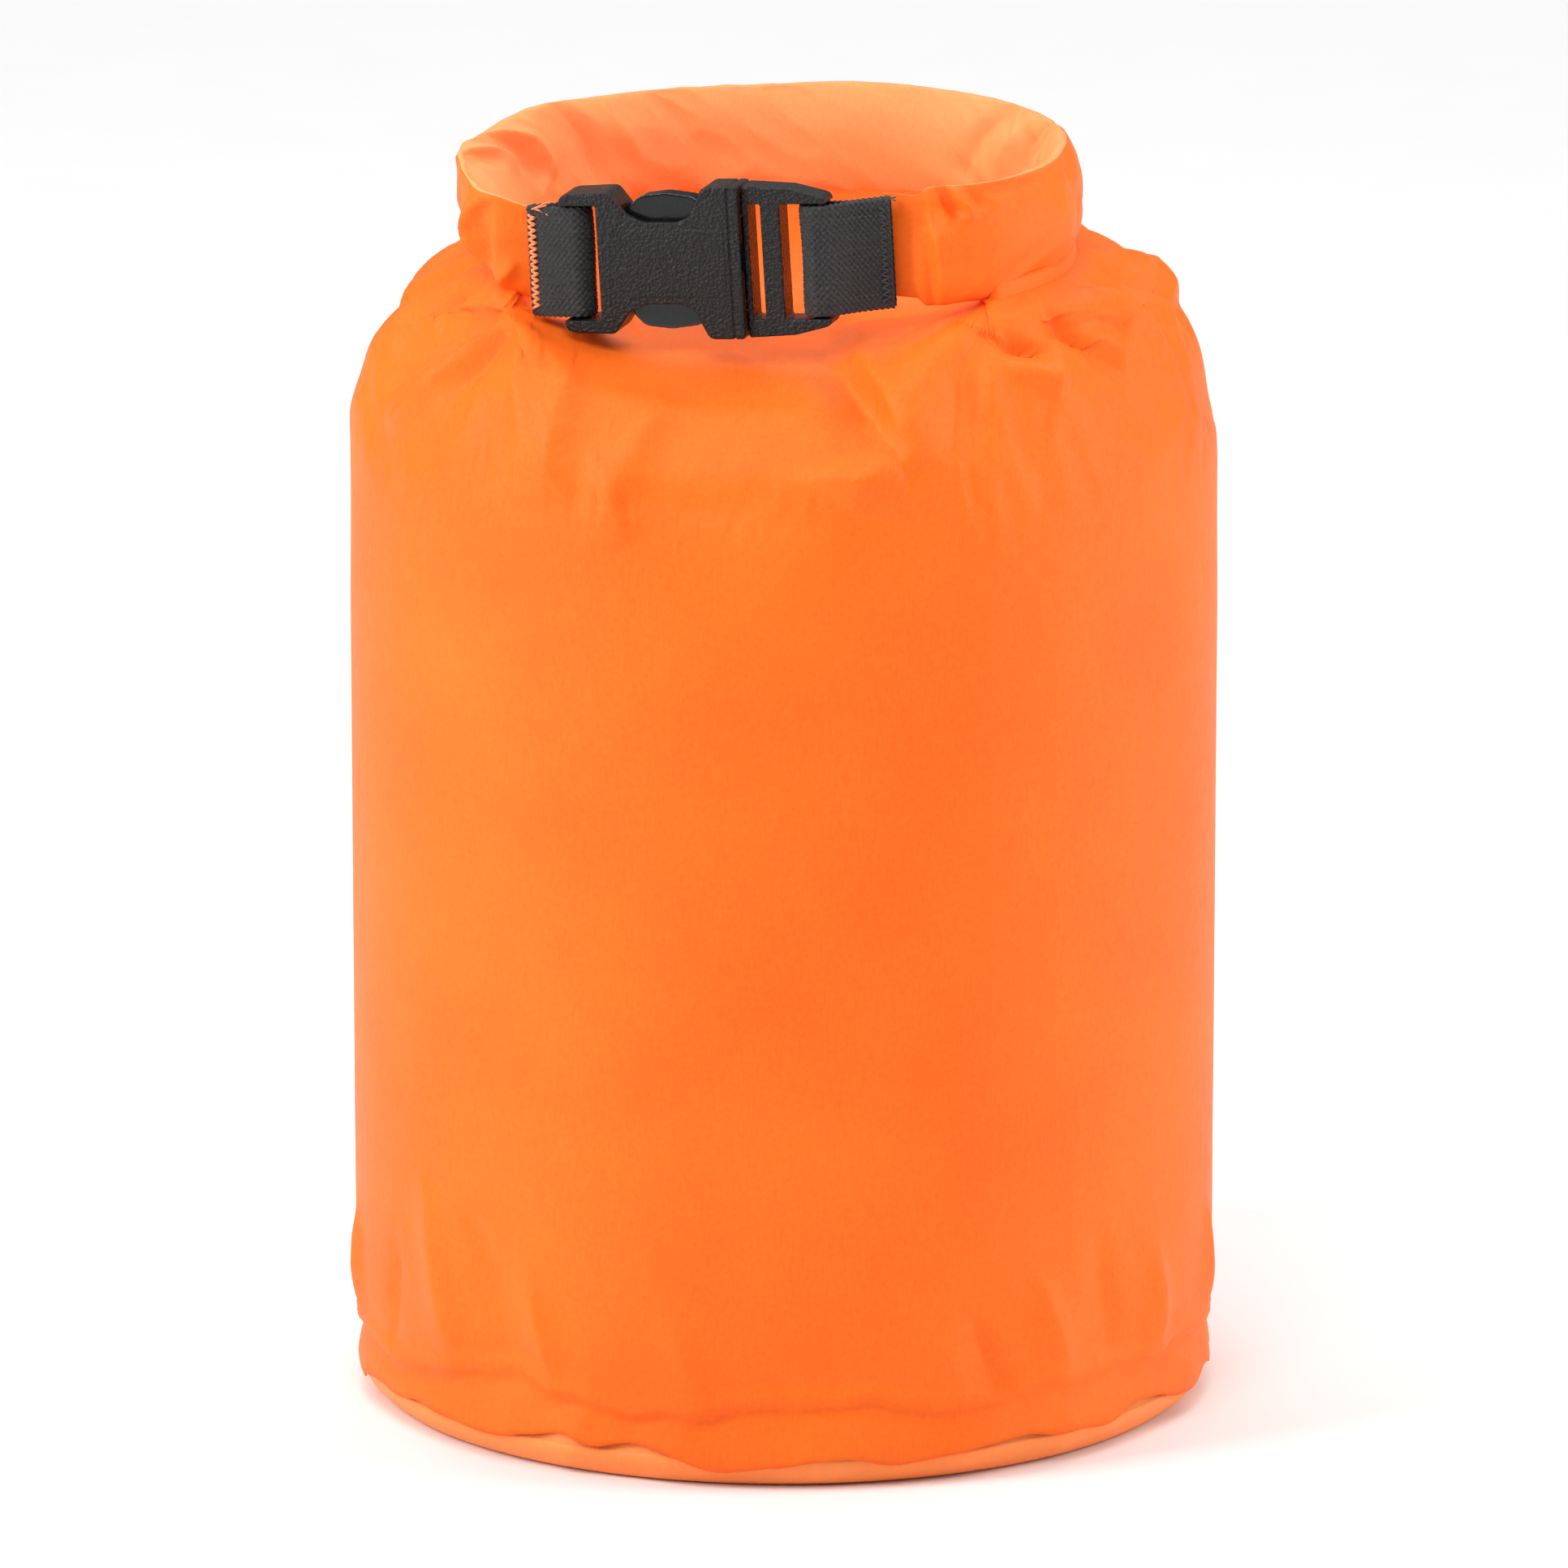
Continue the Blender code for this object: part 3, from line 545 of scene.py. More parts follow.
# Folds of the shoulder: route (mm), height, gentle and steep widths (mm)
SHOULDER_FOLDS = [
    ([(-50, -33, 210), (-60.8, -31, 205), (-68, -27.5, 199), (-74.5, -21, 191)], 2.4, 6.5, 1.9),
    ([(-52, -37, 206), (-61, -37, 200), (-69, -33, 192), (-73, -27, 187)], -1.4, 2.2, 3.4),
    ([(-49, -38, 207), (-55, -42, 202), (-62, -43, 196)], 1.1, 4.4, 2.2),
    ([(-55, -21, 214), (-63, -16, 210), (-71, -9, 203)], 1.9, 2.2, 6.0),
    ([(-54, -8, 214.5), (-64, -1, 208), (-74, 6, 200)], 1.4, 2.6, 5.0),
    ([(-46, -42, 205), (-48, -52, 199), (-49, -60, 188)], -0.9, 6.0, 3.6),
    ([(-38, -50, 203), (-41, -60, 195), (-45, -64, 181)], -1.1, 7.5, 4.2),
    ([(-33, -66, 188), (-31, -68, 181), (-28, -69, 175)], -1.0, 5.0, 3.2),
    ([(-22, -60, 200), (-28, -66, 191), (-32, -67, 182)], -0.9, 5.5, 4.0),
    ([(8, -48, 205), (14, -60, 200), (20, -69.5, 191)], 1.7, 6.0, 2.2),
    ([(13, -48, 205), (19, -60, 200), (25, -68.5, 190)], -1.3, 2.4, 5.0),
    ([(5, -71.8, 189), (13, -71.4, 188), (20.5, -70, 190.5)], -1.3, 4.5, 2.2),
    ([(28, -54, 204.6), (31, -60, 200), (30, -67, 190)], 1.1, 5.0, 5.0),
    ([(35, -49.5, 207.5), (41, -50.5, 207), (49, -49.2, 205.2)], 2.1, 5.5, 1.9),
    ([(39.5, -52.4, 203.4), (46, -52.8, 202.2), (51.5, -50.8, 200.8)], -1.5, 2.2, 4.0),
    ([(45, -43, 212), (53, -43, 208), (62, -40.5, 201)], 1.8, 4.5, 1.9),
    ([(50, -33, 214), (60, -31, 209), (69, -26.5, 202)], -1.2, 3.0, 2.4),
    ([(51, -26, 215), (61, -22, 210), (71, -17, 202)], 2.0, 2.2, 5.5),
    ([(54, -14, 214), (64, -9, 209), (75, -2, 200)], 1.6, 2.4, 5.0),
    ([(53, -4, 214), (62, 3, 209), (71, 11, 202)], -1.1, 3.0, 3.4),
]

# Puckers over the base's weld
BASE_FOLDS = [
    ([(-64, -42, 46), (-62, -45, 30), (-60, -47, 15)], -1.5, 5.5, 3.6),
    ([(-56, -51, 44), (-52, -55, 28), (-49, -57, 14)], 1.2, 5.0, 3.6),
    ([(-46, -59, 36), (-43, -61, 24), (-41, -62, 14)], -1.3, 4.0, 3.2),
    ([(-70, -33, 34), (-72, -30, 14)], 0.9, 3.6, 3.0),
    ([(-78, -10, 34), (-77.5, -13, 15)], -1.3, 4.0, 3.4),
    ([(-20, -70, 30), (-14, -71.5, 14)], -0.7, 5.0, 4.0),
    ([(8, -72.6, 27), (12, -72.2, 13)], 0.8, 5.0, 4.0),
    ([(34, -66, 30), (40, -63, 13)], 1.1, 4.2, 3.0),
    ([(47, -58.5, 34), (52, -55, 14)], -1.4, 4.6, 3.0),
    ([(57, -50, 40), (60, -47, 15)], 1.1, 4.6, 3.6),
    ([(67, -38, 36), (69, -35, 14)], -1.3, 4.4, 3.2),
    ([(77.5, -14, 36), (77.5, -12, 15)], -1.0, 4.0, 3.4),
]


def neck_ring(lift=0.0, spread=0.0):
    """Points under the roll: its outer side from left to right, then its inner side back."""
    def side(count, sign):
        ts = NECK_TRIM + (1 - 2 * NECK_TRIM) * np.arange(count) / (count - 1)
        points, out = mouth_line(ts)
        inward = np.sin(roll_lean(ts)) * (ROLL_HALF_HEIGHT - lift)
        xy = points + out * (sign * (NECK_HALF_SLOT + spread) - inward)[:, None]
        end = np.minimum(ts, 1 - ts) / 0.06
        z = roll_height(ts) - ROLL_HALF_HEIGHT + 0.8 * MM - 1.2 * MM * np.exp(-end * end) + lift
        return np.column_stack([xy, z])
    return np.concatenate([side(OUTER_COLS, 1), side(INNER_COLS, -1)[::-1]])


def body_angles():
    """Directions of the tube's columns: the outer side of the neck from left to right, then the inner."""
    front = 2 * math.pi + RIGHT_FOLD - LEFT_FOLD
    step = front / (INNER_COLS + 1)
    outer = LEFT_FOLD - step / 2 - (2 * math.pi - front - step) * np.arange(OUTER_COLS) / (OUTER_COLS - 1)
    inner = LEFT_FOLD + step / 2 + (front - step) * np.arange(INNER_COLS)[::-1] / (INNER_COLS - 1)
    return np.concatenate([outer, inner])


def front_dome(s, top_z, dome_z, neck_z):
    """Front of the shoulder at s: share of the way in to the neck, and height, from the wall's top."""
    if s < DOME_ROWS:
        inward = (s / DOME_ROWS) ** 1.6
        height = (1 - (1 - inward) ** DOME_POWER) ** (1 / DOME_POWER)
        return inward * DOME_SHARE, top_z + (dome_z - top_z) * height
    rest = (s - DOME_ROWS) / (1 - DOME_ROWS)
    return DOME_SHARE + (1 - DOME_SHARE) * rest, dome_z + (neck_z - dome_z) * rest ** 6


def relaxed(grid, first, last, passes):
    """Evens out the rows from first to last of a grid that is closed round its columns."""
    grid = grid.copy()
    weight = np.ones(last - first)
    weight[:6] = np.linspace(0.15, 0.9, 6)
    weight[-16:] = np.linspace(1, 0, 16) ** 1.5
    for _ in range(passes):
        rows = grid[first:last]
        around = (np.roll(rows, 1, axis=1) + np.roll(rows, -1, axis=1)) * 0.25
        along = (grid[first - 1:last - 1] + grid[first + 1:last + 1]) * 0.25
        grid[first:last] = rows + (around + along - rows) * 0.7 * weight[:, None, None]
    return grid


def body_start():
    """Grid of the cloth tube from the hem up to the neck, as lofted before it is inflated."""
    angles = body_angles()
    ring = np.column_stack([HALF_WIDTH * np.cos(angles), HALF_DEPTH * np.sin(angles)])
    neck = neck_ring()
    cols = np.arange(len(ring))
    outer = cols < OUTER_COLS
    from_end = np.minimum(cols - OUTER_COLS, len(ring) - 1 - cols)
    front = np.where(outer, 0.0, smoothstep(-1, 26, from_end))
    facing = smoothstep(0.25, 0.85, -np.sin(angles))
    turned = np.mod(angles, 2 * math.pi)
    drop = BACK_DROP + SIDE_DROP * facing + FRONT_DROP * bell(turned, FRONT_MIDDLE, math.radians(34))
    top = SHOULDER_Z - drop
    dome = DOME_Z + DOME_RIGHT_RISE * smoothstep(math.radians(275), math.radians(290), turned)
    dome += DOME_LEFT_RISE * (1 - smoothstep(math.radians(228), math.radians(242), turned))
    bulge = 1.7 - 0.62 * bell(turned, math.radians(190), math.radians(48))
    shares = np.linspace(0, 1, WALL_ROWS)
    rows = [np.column_stack([ring, SHOWN_HEM_Z + (top - SHOWN_HEM_Z) * share]) for share in shares]
    for k in range(1, SHOULDER_ROWS + 1):
        s = k / SHOULDER_ROWS
        side = (neck[:, 2] - SHOULDER_Z) * (1 - (1 - s) ** bulge)
        reach = 0.10 + 0.30 * facing
        bend = (1 - np.minimum(1, s / reach)) ** 2
        front_share, front_z = front_dome(s, top, dome, neck[:, 2])
        z = SHOULDER_Z + side - drop * bend
        z += (front_z - z) * front
        share = s * (1 - 0.42 * bend)
        share += (front_share - share) * front
        xy = ring + (neck[:, :2] - ring) * share[:, None]
        rows.append(np.column_stack([xy, z]))
    rows.append(neck_ring(lift=1.6 * MM))
    rows.append(neck_ring(lift=3.2 * MM, spread=-0.5 * MM))
    return relaxed(np.array(rows), WALL_ROWS - 16, WALL_ROWS + SHOULDER_ROWS - 2, RELAX_PASSES)


def inflating_cloth(obj):
    """Cloth modifier of a light coated nylon under air pressure, with spare cloth where it isn't pinned."""
    mod = obj.modifiers.new("inflate", "CLOTH")
    cloth = mod.settings
    cloth.quality = 7
    cloth.mass = 0.12
    cloth.tension_stiffness = 45
    cloth.compression_stiffness = 45
    cloth.shear_stiffness = 14
    cloth.bending_stiffness = 0.25
    cloth.tension_damping = cloth.compression_damping = 12
    cloth.air_damping = 4
    cloth.vertex_group_mass = "pins"
    cloth.pin_stiffness = 6
    cloth.vertex_group_shrink = "spare"
    cloth.shrink_min = -0.016
    cloth.shrink_max = 0.0
    cloth.use_pressure = True
    cloth.uniform_pressure_force = 1.1
    cloth.effector_weights.gravity = 0.0
    mod.collision_settings.use_collision = False
    return mod


def evaluated_positions(obj):
    """Vertex positions with the modifiers' effect."""
    evaluated = obj.evaluated_get(bpy.context.evaluated_depsgraph_get())
    moved = rows_of(evaluated.to_mesh().vertices, "co")
    evaluated.to_mesh_clear()
    return moved


def simulate_body(obj, start):
    """Inflates the shoulder with spare cloth in it, so that it buckles between the wall and the neck."""
    rows, cols = start.shape[:2]
    flat = start.reshape(-1, 3)
    row = np.repeat(np.arange(rows), cols)
    loose = smoothstep(HELD_Z, HELD_Z + 38 * MM, flat[:, 2]) * (row < rows - 4)
    shoulder = smoothstep(WALL_ROWS - 12, WALL_ROWS + 3, row) * (1 - smoothstep(rows - 9, rows - 3, row))
    pins = obj.vertex_groups.new(name="pins")
    spare = obj.vertex_groups.new(name="spare")
    for i in range(rows * cols):
        pins.add([i], float(1 - loose[i]), "REPLACE")
        spare.add([i], float(1 - shoulder[i]), "REPLACE")
    mod = inflating_cloth(obj)
    scene = bpy.context.scene
    scene.frame_start, scene.frame_end = 1, LAST_CACHED_FRAME
    mod.point_cache.frame_start, mod.point_cache.frame_end = 1, LAST_CACHED_FRAME
    for f in range(1, SIMULATED_FRAMES + 1):
        scene.frame_set(f)
    moved = evaluated_positions(obj)
    obj.modifiers.remove(mod)
    obj.vertex_groups.clear()
    scene.frame_set(1)
    offset = moved - flat
    length = np.linalg.norm(offset, axis=1, keepdims=True)
    offset *= MOST_MOVED * np.tanh(length / MOST_MOVED) / np.maximum(length, 1e-9)
    return flat + offset


def ring_noise(angle, seed, scale, height=0.0):
    """Smooth noise round the bag, -1 to 1, that repeats after a full turn; height varies it upwards."""
    places = np.broadcast(np.cos(angle) * scale + seed, np.sin(angle) * scale - seed, height)
    return np.array([noise.noise(place) for place in places])


def weld_height(angle):
    """Height of the wavy upper edge of the weld round the base."""
    return 14.6 * MM + 4.6 * MM * ring_noise(angle, 2.0, 3.4) + 2.6 * MM * ring_noise(angle, 5.0, 8.0)


def hem_height(angle):
    """Height of the tube's cut lower edge, which wanders over the base panel's rounded rim."""
    return 5.4 * MM + 3.4 * MM * ring_noise(angle, 21.0, 4.2) + 1.2 * MM * ring_noise(angle, 25.0, 9.0)


def gather_base(points, rolled_under=False):
    """Draws the wall in at its weld to the base panel, with small gathers and the weld's stepped edge."""
    low = points[:, 2] < 60 * MM
    p = points[low]
    angle = np.arctan2(p[:, 1], p[:, 0])
    if rolled_under:
        lift = np.maximum(hem_height(angle), LOWEST_HEM_Z) - SHOWN_HEM_Z
        p[:, 2] += lift * (1 - smoothstep(SHOWN_HEM_Z, 15 * MM, p[:, 2]))
    z = p[:, 2]
    weld = weld_height(angle)
    rim = 4.6 * MM + 0.9 * MM * ring_noise(angle, 7.0, 5.0)
    push = -0.7 * MM * bell(z, weld + 1.5 * MM, 4 * MM) - 0.5 * MM * (1 - smoothstep(0, 6 * MM, z))
    push -= WELD_STEP * (1 - smoothstep(weld - 0.9 * MM, weld + 0.5 * MM, z)) * smoothstep(rim, weld, z)
    push += WELD_RIDGE * bell(z, weld + 1.6 * MM, 1.5 * MM)
    if rolled_under:
        below = np.clip(BASE_CORNER - z, 0, BASE_CORNER)
        push -= BASE_CORNER - np.sqrt(BASE_CORNER ** 2 - below ** 2)
    gathers = ring_noise(angle, 9.0, 8.0, 40 * z)
    ripples = ring_noise(angle, 13.0, 3.2, 26 * z)
    fade = np.exp(-np.maximum(z - weld, 0) / (13 * MM))
    push += (GATHER_DEPTH * gathers - RIPPLE_DEPTH * np.abs(ripples)) * fade
    radial = p * (1, 1, 0)
    radial /= np.maximum(np.linalg.norm(radial, axis=1, keepdims=True), 1e-9)
    moved = points.copy()
    moved[low] = p + radial * push[:, None]
    return moved


def back_folds():
    """Folds that radiate from the neck over the back and sides, which lie in the same way all round."""
    routes = []
    for k, degrees in enumerate(range(16, 180, 15)):
        turn = math.radians(degrees + 5 * math.sin(2.3 * k))
        reach = 0.86 + 0.1 * math.sin(1.7 * k)
        start = (54 * math.cos(turn), 41 * math.sin(turn), 213)
        middle = (66 * math.cos(turn + 0.05), 56 * math.sin(turn + 0.05), 208)
        end = (79 * reach * math.cos(turn + 0.1), 73 * reach * math.sin(turn + 0.1), 201)
        routes.append(([start, middle, end], (-1) ** k * (1.1 + 0.5 * math.sin(3.1 * k)), 2.6, 5.0))
    return routes


def clear_of_neck(points):
    """1 away from the neck, falling to 0 close to it, so that folds start beside the roll."""
    tree = KDTree(OUTER_COLS + INNER_COLS)
    for i, point in enumerate(neck_ring()):
        tree.insert(Vector(point), i)
    tree.balance()
    distance = np.ones(len(points))
    for i in np.nonzero(points[:, 2] > SHOULDER_Z)[0]:
        distance[i] = tree.find(Vector(points[i]))[2]
    return smoothstep(2.0 * MM, 10 * MM, distance)


def make_body(material):
    """The cloth tube: inflated, then folded as in the photograph, drawn in at its weld, and thickened."""
    start = body_start()
    obj = grid_mesh("body_fabric", start, material, wrap=True, uv=cloth_uv(start))
    set_positions(obj, simulate_body(obj, start))
    subdivide(obj)
    apply_modifiers(obj)
    points, normals = positions(obj), vertex_normals(obj)
    plain = points.copy()
    for folds, strength in zip((SHOULDER_FOLDS, back_folds(), BASE_FOLDS), FOLD_STRENGTHS):
        for route, height, left, right in folds:
            points = fold(points, normals, route, strength * height, left, right)
    points = plain + (points - plain) * clear_of_neck(plain)[:, None]
    set_positions(obj, gather_base(points, rolled_under=True))
    thicken(obj)
    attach(obj, "root")
    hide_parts("body_tube")


def oval(a, b, angles, z):
    """Points of a level oval with half axes a and b."""
    return np.column_stack([a * np.cos(angles), b * np.sin(angles), np.full(len(angles), z)])


def make_base(material):
    """Base panel: a flat disc with a rounded edge, drawn in with the wall that is welded to it."""
    turns = 480
    angles = np.linspace(0, 2 * math.pi, turns, endpoint=False)
    wall = 0.6 * MM
    a, b = HALF_WIDTH - wall, HALF_DEPTH - wall
    rows = [oval(a * share, b * share, angles, 0) for share in (0.02, 0.2, 0.4, 0.6, 0.75, 0.86)]
    for k in range(13):
        t = math.radians(90 * k / 12)
        inset = BASE_CORNER * (1 - math.sin(t))
        rows.append(oval(a - inset, b - inset, angles, BASE_CORNER * (1 - math.cos(t))))
    grid = np.array(rows + [oval(a, b, angles, z * MM) for z in (6, 8, 10, 12, 14)])
    obj = grid_mesh("base_fabric", grid, material, wrap=True, uv=cloth_uv(grid))
    points = positions(obj)
    rounded = smoothstep(0, 2.5 * MM, points[:, 2])
    points += (gather_base(points) - points) * rounded[:, None]
    set_positions(obj, points)
    close_ends(obj, turns, last=False)
    thicken(obj)
    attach(obj, "root")
    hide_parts("base_panel")


# ------------------ the rolled mouth

ROLL_STATIONS, ROLL_TURNS = 620, 112
SECTION_POWER = 2 / 2.6          # the roll's section lies between an oval and a box
ROLL_FOLD_STRENGTH = 1.8
LEFT_END_DROP = 4.2 * MM         # of the roll's left end, under its strap
DEEPEST_FOLD = 0.55              # share of the roll's half thickness that a fold may take away

# The stiffening strips: corners of their section, mm, and their distance from the roll's middle line
STRIP_CORNERS = [(-0.3, -7), (0.3, -7), (0.3, 4.5), (-0.3, 4.5)]
STRIP_OFFSET = 0.75 * MM

# Line of the roll: the mouth's line with a flat tongue at each end that lies behind its strap
TONGUE_LEFT = [(-37.0, -34.9), (-42.0, -33.9), (-46.8, -32.2)]
TONGUE_RIGHT = [(22.5, -45.3), (17.5, -43.6)]

# Folds of the roll: side, route of (mm along the roll, mm up its side), height, gentle and steep widths
ROLL_FOLDS = [
    ("out", [(9.5, 9.5), (12.5, 3), (12.5, -5)], 1.5, 1.9, 0.8),
    ("out", [(8.8, 9), (10.2, 2), (11.4, -4.5)], -1.2, 0.8, 1.0),
    ("out", [(13.5, 9.5), (17.5, 0), (16, -9)], -0.8, 1.6, 2.4),
    ("out", [(25, 10), (21, 2), (20, -8)], 0.7, 3.0, 3.0),
    ("out", [(6, -2), (8.5, -6), (10, -9)], 0.7, 1.5, 1.2),
    ("out", [(233, 11), (231.5, 8), (229.6, 5.4)], -1.8, 1.2, 0.9),
    ("out", [(231, 11), (229, 7.5), (227.6, 4.6)], 1.3, 0.9, 1.5),
    ("out", [(228.5, 11), (227, 8), (226.4, 6)], -1.1, 0.8, 1.2),
    ("out", [(236, 8.5), (234.6, 6), (234.4, 3)], -0.7, 1.2, 1.2),
    ("out", [(226, 9.6), (220, 9.2), (211, 9.4)], -0.9, 1.1, 0.8),
    ("out", [(214, 8), (208, 1), (204, -8)], 0.6, 4.0, 4.0),
    ("out", [(200, 9), (196, 0), (196, -9)], -0.7, 3.4, 3.4),
    ("in", [(226, 10.4), (218, 8.5), (208, 9.8)], -1.0, 1.2, 1.0),
    ("in", [(38, 11), (46, 5), (52, -3)], -2.2, 3.2, 1.8),
    ("in", [(44, 11), (52, 6), (57, -2)], 1.5, 1.8, 2.6),
    ("in", [(30, 10), (37, 7), (43, 2)], 1.2, 1.4, 2.2),
    ("in", [(24, 9), (31, 8), (38, 4)], -1.3, 1.4, 1.6),
    ("in", [(62, 11), (67, 3), (70, -6)], -0.9, 3.0, 2.4),
    ("in", [(72, 10), (78, 2), (81, -7)], 0.6, 3.6, 3.0),
    ("in", [(84, 10), (91, 1), (95, -7)], -0.6, 4.2, 3.4),
    ("in", [(158, 11), (151, 4), (146, -5)], -1.0, 3.2, 2.6),
    ("in", [(167, 11), (160, 4), (155, -6)], 0.9, 3.0, 3.4),
    ("in", [(176, 11), (168, 5), (163, -4)], -1.3, 2.6, 2.0),
    ("out", [(60, 10), (56, 0), (58, -9)], -0.8, 2.6, 3.2),
    ("out", [(95, 10), (99, 0), (97, -9)], 0.6, 3.4, 3.0),
    ("out", [(128, 10), (124, 1), (127, -9)], -0.7, 3.0, 3.6),
    ("out", [(160, 10), (164, 0), (161, -9)], 0.7, 3.2, 3.0),
]


def roll_path(count):
    """Stations of the roll: points, outward sides and distance along the CAD's mouth line, in metres."""
    points, _ = mouth_line(np.linspace(0.02, 1, 400))
    knots = np.concatenate([np.array(TONGUE_LEFT) * MM, points[6:], np.array(TONGUE_RIGHT) * MM])
    for _ in range(3):
        knots = np.concatenate([knots[:1], (knots[:-1] + knots[1:]) / 2, knots[-1:]])
    along = line_lengths(knots)
    mouth_end = np.argmin(np.linalg.norm(knots - points[-1], axis=1))
    offset = MOUTH_LENGTH - along[mouth_end]
    where = np.linspace(0, along[-1], count)
    return points_at(where, along, knots), sides_at(where, along, knots, 1.2 * MM), where + offset


def roll_fold(u, h, facing, route, height, gentle, steep):
    """Height of one fold of the roll at distances u along it and h up it, both in mm."""
    flat = np.stack([u, h, 0 * u], axis=-1).reshape(-1, 3)
    normal = np.broadcast_to(np.array([0.0, 0.0, 1.0]), flat.shape)
    raised = fold(flat * MM, normal, [(x, y, 0) for x, y in route], height, gentle, steep)
    return ROLL_FOLD_STRENGTH * raised[:, 2].reshape(u.shape) * facing


def roll_section():
    """Directions round the roll, and the outward and upward shares of its rounded section there."""
    a = 2 * math.pi * np.arange(ROLL_TURNS) / ROLL_TURNS
    across = np.sign(np.cos(a)) * np.abs(np.cos(a)) ** SECTION_POWER
    up = np.sign(np.sin(a)) * np.abs(np.sin(a)) ** SECTION_POWER
    return a, across, up


def roll_fullness(u, up):
    """Share of the roll's full thickness; it is pressed flat where its ends pass behind the straps."""
    along = u[:, None]
    slant = 2.7 * MM * (0.5 - 0.5 * up[None, :])
    left = smoothstep(0, 15 * MM, along)
    right = 1 - smoothstep(-0.5 * MM, 0.6 * MM, along - MOUTH_LENGTH + slant)
    return np.minimum(0.27 + 0.73 * left, 0.22 + 0.78 * right)


def roll_crumple(t, across, up):
    """Uneven swelling of the roll, with sharper valleys between the soft parts."""
    crumple = np.zeros((len(t), ROLL_TURNS))
    for i, share in enumerate(t):
        for k, (x, y) in enumerate(zip(across, up)):
            broad = noise.noise((share * 11 + 3, x * 0.6, y * 0.9))
            sharp = noise.noise((share * 30 + y * 1.6, x * 0.5 + 7, y * 1.1))
            crumple[i, k] = 0.9 * MM * broad - 0.8 * MM * abs(sharp)
    return crumple


def roll_fold_sum(u, across, up):
    """Heights of all of the roll's folds over its stations and turns."""
    hh, uu = np.meshgrid(up * ROLL_HALF_HEIGHT / MM, u / MM)
    sides = {"out": np.clip(across * 3, 0, 1), "in": np.clip(-across * 3, 0, 1)}
    return sum(roll_fold(uu, hh, sides[side], *shape) for side, *shape in ROLL_FOLDS)


def roll_points(across, up):
    """Grid of the roll's surface, stations by turns."""
    xy, out, u = roll_path(ROLL_STATIONS)
    t = np.clip(u / MOUTH_LENGTH, 0, 1)
    full = roll_fullness(u, up)
    swell = roll_crumple(t, across, up) * full
    folds = roll_fold_sum(u, across, up)
    flare = bell(u, 32 * MM, 26 * MM)
    slim = 1 - (0.38 + 0.22 * flare)[:, None] * (np.clip(up, 0, 1) ** 2)[None, :]
    tongue = smoothstep(2 * MM, 13 * MM, u)
    tongue = np.minimum(tongue, 1 - smoothstep(MOUTH_LENGTH - 1 * MM, MOUTH_LENGTH + 1 * MM, u))
    half_height = ROLL_END_HALF_HEIGHT + (ROLL_HALF_HEIGHT - ROLL_END_HALF_HEIGHT) * tongue
    height = roll_height(t) - LEFT_END_DROP * (1 - smoothstep(0, 26 * MM, u))
    lip = 0.54 * MM * np.sin(u / (4.3 * MM)) * flare + 0.5 * MM * np.sin(u / (9.1 * MM)) * (0.4 + flare)
    plain = ROLL_HALF_THICKNESS * full * across * slim
    relief = (swell + folds) * np.minimum(1, np.abs(across) * 2)
    wide = plain + np.sign(across) * np.maximum(relief, -DEEPEST_FOLD * np.abs(plain))
    tall = half_height[:, None] * up + 0.35 * swell * up + lip[:, None] * np.clip(up, 0, 1) * full
    grid = roll_surface(t, xy, out, height, wide, tall)
    grid[:, :, 2] = np.minimum(grid[:, :, 2], CAD_BOX[1][2] + 1.5 * MM)
    return grid


def make_roll(material, coated_and_sheen):
    """The rolled mouth: one padded piece, with the cloth's paler coated side on the roll's inner face, its
    colour lightened further as painted sheen.
    """
    a, across, up = roll_section()
    grid = roll_points(across, up)
    obj = grid_mesh("rolled_mouth", grid, material, coated_and_sheen, wrap=True, uv=cloth_uv(grid)[:, :, ::-1])
    # faces on the roll's inner side get the coated side's colour: partly the paler coating, partly painted
    # sheen from the top light
    facing = np.tile((np.cos(a + math.pi / ROLL_TURNS) < 0.12).astype(np.int32), ROLL_STATIONS - 1)
    obj.data.polygons.foreach_set("material_index", facing)
    close_ends(obj, ROLL_TURNS)
    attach(obj, "root")
    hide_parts("roll_collar")


def make_stiffeners(material):
    """The two strips rolled into the mouth, which keep it flat; they end short of the tongues."""
    t = np.linspace(0.07, 0.95, 120)
    xy, out = mouth_line(t)
    wide, tall = np.array(STRIP_CORNERS).T * MM
    for name, offset in (("stiffener_front", STRIP_OFFSET), ("stiffener_back", -STRIP_OFFSET)):
        rows = roll_surface(t, xy, out, roll_height(t), wide + offset, tall)
        obj = grid_mesh(name + "_strip", rows, material, wrap=True)
        close_ends(obj, 4)
        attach(obj, "root")
        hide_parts(name)


# ------------------ webbing and thread

WEBBING_WIDTH = 20 * MM
WEBBING_THICKNESS = 1.2 * MM
FLOAT_WIDTH, FLOAT_LENGTH, FLOAT_HEIGHT = 1.25 * MM, 1.05 * MM, 0.198 * MM   # of the weave's raised yarn
LEFT_BAR, LEFT_TURN = -31.7, 2.65         # middle of the bar and the strap's turn round it, mm
RIGHT_BAR, RIGHT_TURN = 13.3, 2.45
SEAM_HEIGHT = 17                          # of each zigzag seam, mm
STITCH_POINTS = 10

# Layers of each strap's loop in the buckle's frame, mm: (along the slide, away from the front)
LEFT_FRONT_LAYER = [(-40.0, -1.05), (-38.4, -1.65), (-36.2, -2.15), (-33.8, -2.5)]
LEFT_BACK_LAYER = [(-34.2, 2.0), (-36.2, 0.95), (-38.2, 0.15), (-39.8, 0.05)]
RIGHT_FRONT_LAYER = [(25.3, 5.2), (24.4, 4.8), (22.3, 3.45), (19.3, 1.4), (16, -1.5)]
RIGHT_BACK_LAYER = [(16, 2.4), (18.7, 2.95), (21.7, 4.95), (23.9, 6.3), (25.1, 6.9)]


